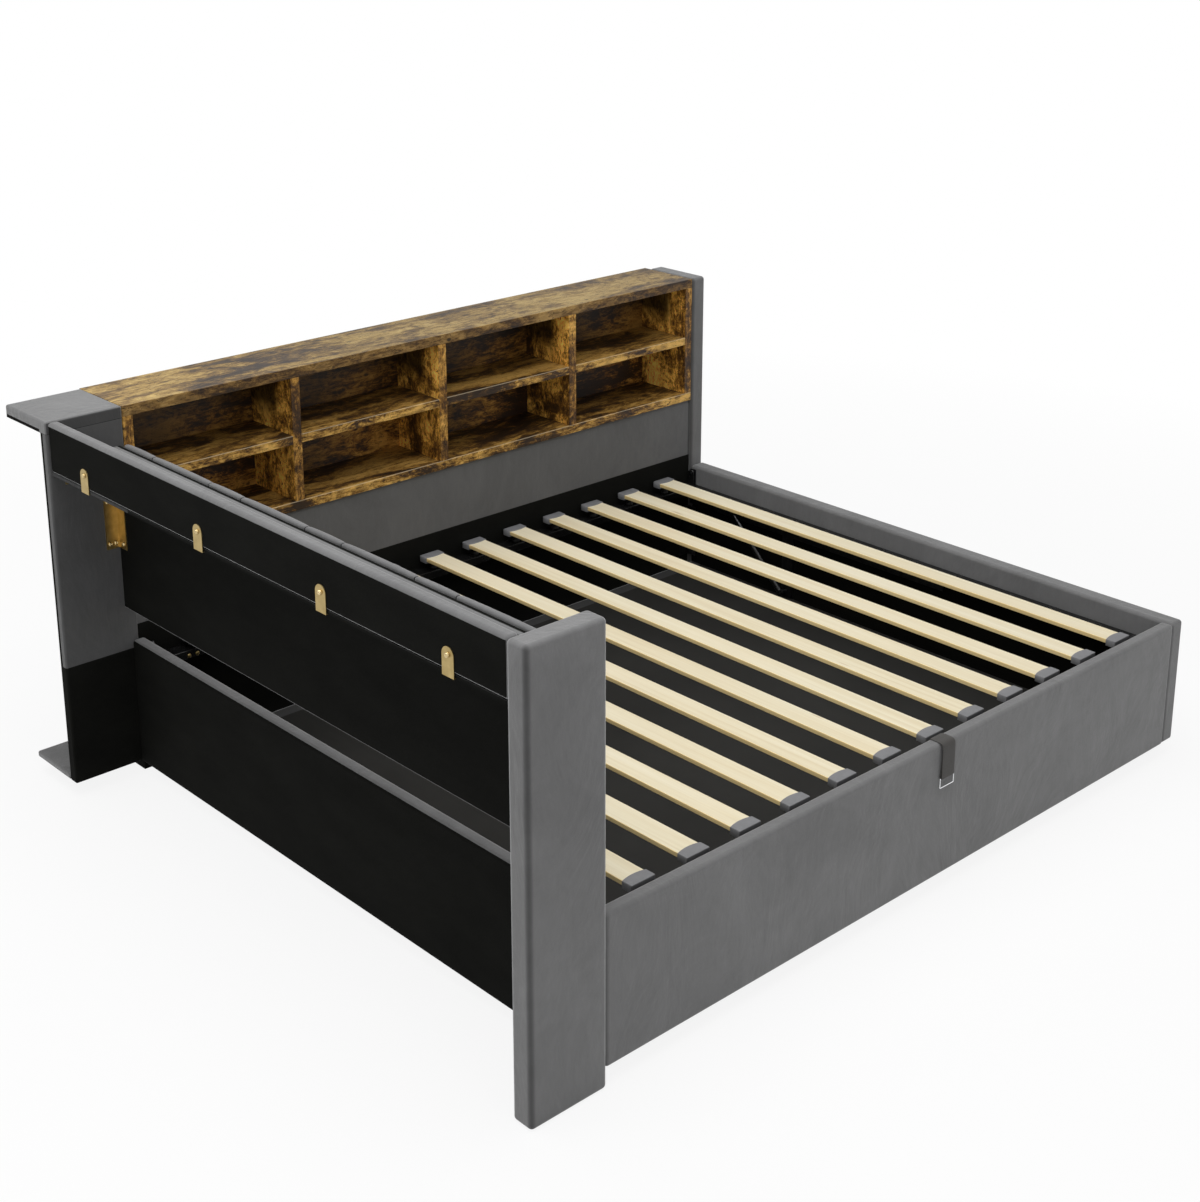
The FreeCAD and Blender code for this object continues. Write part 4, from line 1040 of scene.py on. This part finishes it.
STRAP_HALF = 0.8 * MM
RING_WIRE = 1.3 * MM
RING_PLAY = 0.3 * MM
RAIL_PLAY = 1.0 * MM
CURVE_STEPS = 4
LOOP_STEPS = 8
# One side of the band's section as (share of the width, share of the half thickness)
BAND_SIDE = ((0.012, 0.8), (0.03, 1.0), (0.25, 1.0), (0.5, 1.0), (0.75, 1.0), (0.97, 1.0), (0.988, 0.8))
BAND_SECTION = [(0.0, 0.0), *BAND_SIDE, (1.0, 0.0), *((share, -lift) for share, lift in reversed(BAND_SIDE))]


def strap_path(low, high):
    """The strap's middle line from the tube to its sewn end, as points (y, z)."""
    ring_low, ring_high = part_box("pull_ring")
    ring_y = (ring_low.y + ring_high.y) / 2
    ring_z = ring_high.z - RING_WIRE
    loop = RING_WIRE + RING_PLAY + STRAP_HALF
    front = low.y + STRAP_HALF
    top = high.z - STRAP_HALF
    back = front_high.y + RAIL_PLAY + STRAP_HALF
    path = [(high.y, tube_top + STRAP_HALF), (back + 6 * MM, tube_top + STRAP_HALF),
            (back + 1 * MM, tube_top + 3 * MM), (back, tube_top + 12 * MM),
            (back - 0.2 * MM, top - 16 * MM), (back - 2 * MM, top - 5 * MM), (back - 9 * MM, top - 0.6 * MM),
            ((back + front) / 2, top), (front + 10 * MM, top - 0.4 * MM), (front + 3 * MM, top - 4 * MM),
            (front + 0.4 * MM, top - 13 * MM), (front, top - 34 * MM),
            (front, ring_z + 16 * MM), (front, ring_z + 3 * MM)]
    for step in range(LOOP_STEPS + 1):
        angle = math.pi + math.pi * step / LOOP_STEPS
        path.append((ring_y + loop * math.cos(angle), ring_z + loop * math.sin(angle)))
    path += [(ring_y + loop, ring_z + 5 * MM), (front + 3.4 * MM, ring_z + 15 * MM),
             (front + 1.9 * MM, ring_z + 24 * MM), (front + 1.75 * MM, ring_z + 44 * MM)]
    return [Vector(point).to_3d() for point in path]


def smooth_curve(path):
    """Points on a smooth curve through all points of a path."""
    fine = []
    last = len(path) - 1
    for number in range(last):
        before, start, end, after = (path[min(max(number + step, 0), last)] for step in (-1, 0, 1, 2))
        bend = 2 * before - 5 * start + 4 * end - after
        twist = 3 * start - before - 3 * end + after
        for step in range(CURVE_STEPS):
            t = step / CURVE_STEPS
            fine.append(0.5 * (2 * start + (end - before) * t + bend * t * t + twist * t ** 3))
    fine.append(path[-1])
    return fine


def build_strap(bm):
    """A flat band along its path, beside the solid that it stands for."""
    low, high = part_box("lift_strap")
    curve = smooth_curve(strap_path(low, high))
    width = high.x - low.x
    rows = []
    for number, point in enumerate(curve):
        ahead = curve[min(number + 1, len(curve) - 1)] - curve[max(number - 1, 0)]
        ahead.normalize()
        side = Vector((-ahead.y, ahead.x, 0))
        row = []
        for share, lift in BAND_SECTION:
            at = point + side * STRAP_HALF * lift
            row.append(Vector((low.x + width * share, at.x, at.y)))
        rows.append(row)
    closed_grid(bm, rows)


strap = mesh_piece("webbing_strap", build_strap, webbing("strap_webbing"))
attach(strap, "lift_base")
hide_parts("lift_strap")


# Floor, lights and world

FLOOR_REACH = 40
FLOOR_DROP = 0.5 * MM
WORLD_LIGHT = 0.22
# The floor glows by this share near the bed, and fully from the farther distance
GLOW_NEAR = 2.0
GLOW_FAR = 4.5
GLOW_SHARE = 0.88
FLOOR_FLECK = (3.0, 2, 0.5)
# Lamps: name, place, aim, width, height and power
LAMPS = (
    ("overhead", (-1.1, -0.3, 5.5), (-0.6, 0, 0), 6.0, 5.0, 312),
    ("front", (3.2, -5.2, 2.2), (0.6, -0.8, 0.4), 3.6, 2.4, 24),
    ("key", (-5.0, -4.6, 3.0), (0.0, 0.2, 0.5), 3.4, 2.6, 45),
    ("left", (-5.6, 2.5, 3.4), (-1.0, -0.2, 0.4), 3.0, 2.4, 36),
)


def backdrop_material():
    """White to the camera with a soft shadow, plain pale to everything else."""
    look = Look("studio_floor")
    fleck = look.noise(look.place, *FLOOR_FLECK)
    look.feed(look.shader.inputs["Base Color"], look.greys(fleck, 0.3, 0.7, 0.80, 0.82))
    look.shader.inputs["Roughness"].default_value = 0.9
    glow = look.add("ShaderNodeEmission")
    glow.inputs["Strength"].default_value = 1.0
    ray = look.add("ShaderNodeLightPath")
    seen = look.math("MAXIMUM", ray.outputs["Is Camera Ray"], ray.outputs["Is Glossy Ray"])
    seen = look.math("MAXIMUM", seen, ray.outputs["Is Transmission Ray"])
    blend = look.add("ShaderNodeMixShader")
    look.feed(blend.inputs[0], look.product(seen, look.reach((0, 0), GLOW_NEAR, GLOW_FAR, GLOW_SHARE)))
    look.feed(blend.inputs[1], look.shader.outputs[0])
    look.feed(blend.inputs[2], glow.outputs[0])
    look.feed(look.output.inputs["Surface"], blend.outputs[0])
    return look.material


def build_floor(bm):
    """One large square just below the bed."""
    level = cad_low.z - FLOOR_DROP
    corners = ((-1, -1), (1, -1), (1, 1), (-1, 1))
    bm.faces.new([bm.verts.new((x * FLOOR_REACH, y * FLOOR_REACH, level)) for x, y in corners])


floor = mesh_piece("studio_floor", build_floor, backdrop_material(), smooth=False)


def world_light():
    """White behind everything that the camera sees, a softer level as light."""
    world = bpy.data.worlds.new("studio")
    bpy.context.scene.world = world
    world.use_nodes = True
    tree = world.node_tree
    back = tree.nodes["Background"]
    back.inputs["Color"].default_value = (1, 1, 1, 1)
    ray = tree.nodes.new("ShaderNodeLightPath")
    seen = ray.outputs["Is Camera Ray"]
    for kind in ("Is Glossy Ray", "Is Transmission Ray"):
        either = tree.nodes.new("ShaderNodeMath")
        either.operation = "MAXIMUM"
        tree.links.new(seen, either.inputs[0])
        tree.links.new(ray.outputs[kind], either.inputs[1])
        seen = either.outputs[0]
    level = tree.nodes.new("ShaderNodeMapRange")
    level.inputs["To Min"].default_value = WORLD_LIGHT
    level.inputs["To Max"].default_value = 1.0
    tree.links.new(seen, level.inputs["Value"])
    tree.links.new(level.outputs[0], back.inputs["Strength"])


def area_light(name, place, aim, width, height, power):
    """A large soft lamp at a place, turned towards a point."""
    lamp = bpy.data.lights.new(name, "AREA")
    lamp.shape = "RECTANGLE"
    lamp.size = width
    lamp.size_y = height
    lamp.energy = power
    item = bpy.data.objects.new(name, lamp)
    item.location = place
    item.rotation_euler = (Vector(aim) - Vector(place)).to_track_quat("-Z", "Y").to_euler()
    bpy.context.collection.objects.link(item)


world_light()
for lamp in LAMPS:
    area_light(*lamp)


# Camera

camera_data = bpy.data.cameras.new("camera")
camera_data.sensor_fit = "HORIZONTAL"
camera_data.sensor_width = SENSOR_WIDTH
camera_data.lens = FOCAL_PIXELS / IMAGE_WIDTH * SENSOR_WIDTH
camera_data.shift_y = SHIFT_Y
camera_data.clip_end = FARTHEST_SEEN
camera = bpy.data.objects.new("camera", camera_data)
ahead = Vector((math.sin(CAMERA_YAW) * math.cos(CAMERA_PITCH), math.cos(CAMERA_YAW) * math.cos(CAMERA_PITCH),
                -math.sin(CAMERA_PITCH)))
right = Vector((math.cos(CAMERA_YAW), -math.sin(CAMERA_YAW), 0))
turn = Matrix((right, right.cross(ahead), -ahead)).transposed().to_4x4()
camera.matrix_world = Matrix.Translation(CAMERA_PLACE) @ turn
bpy.context.collection.objects.link(camera)
bpy.context.scene.camera = camera
bpy.context.scene.view_settings.view_transform = "Standard"
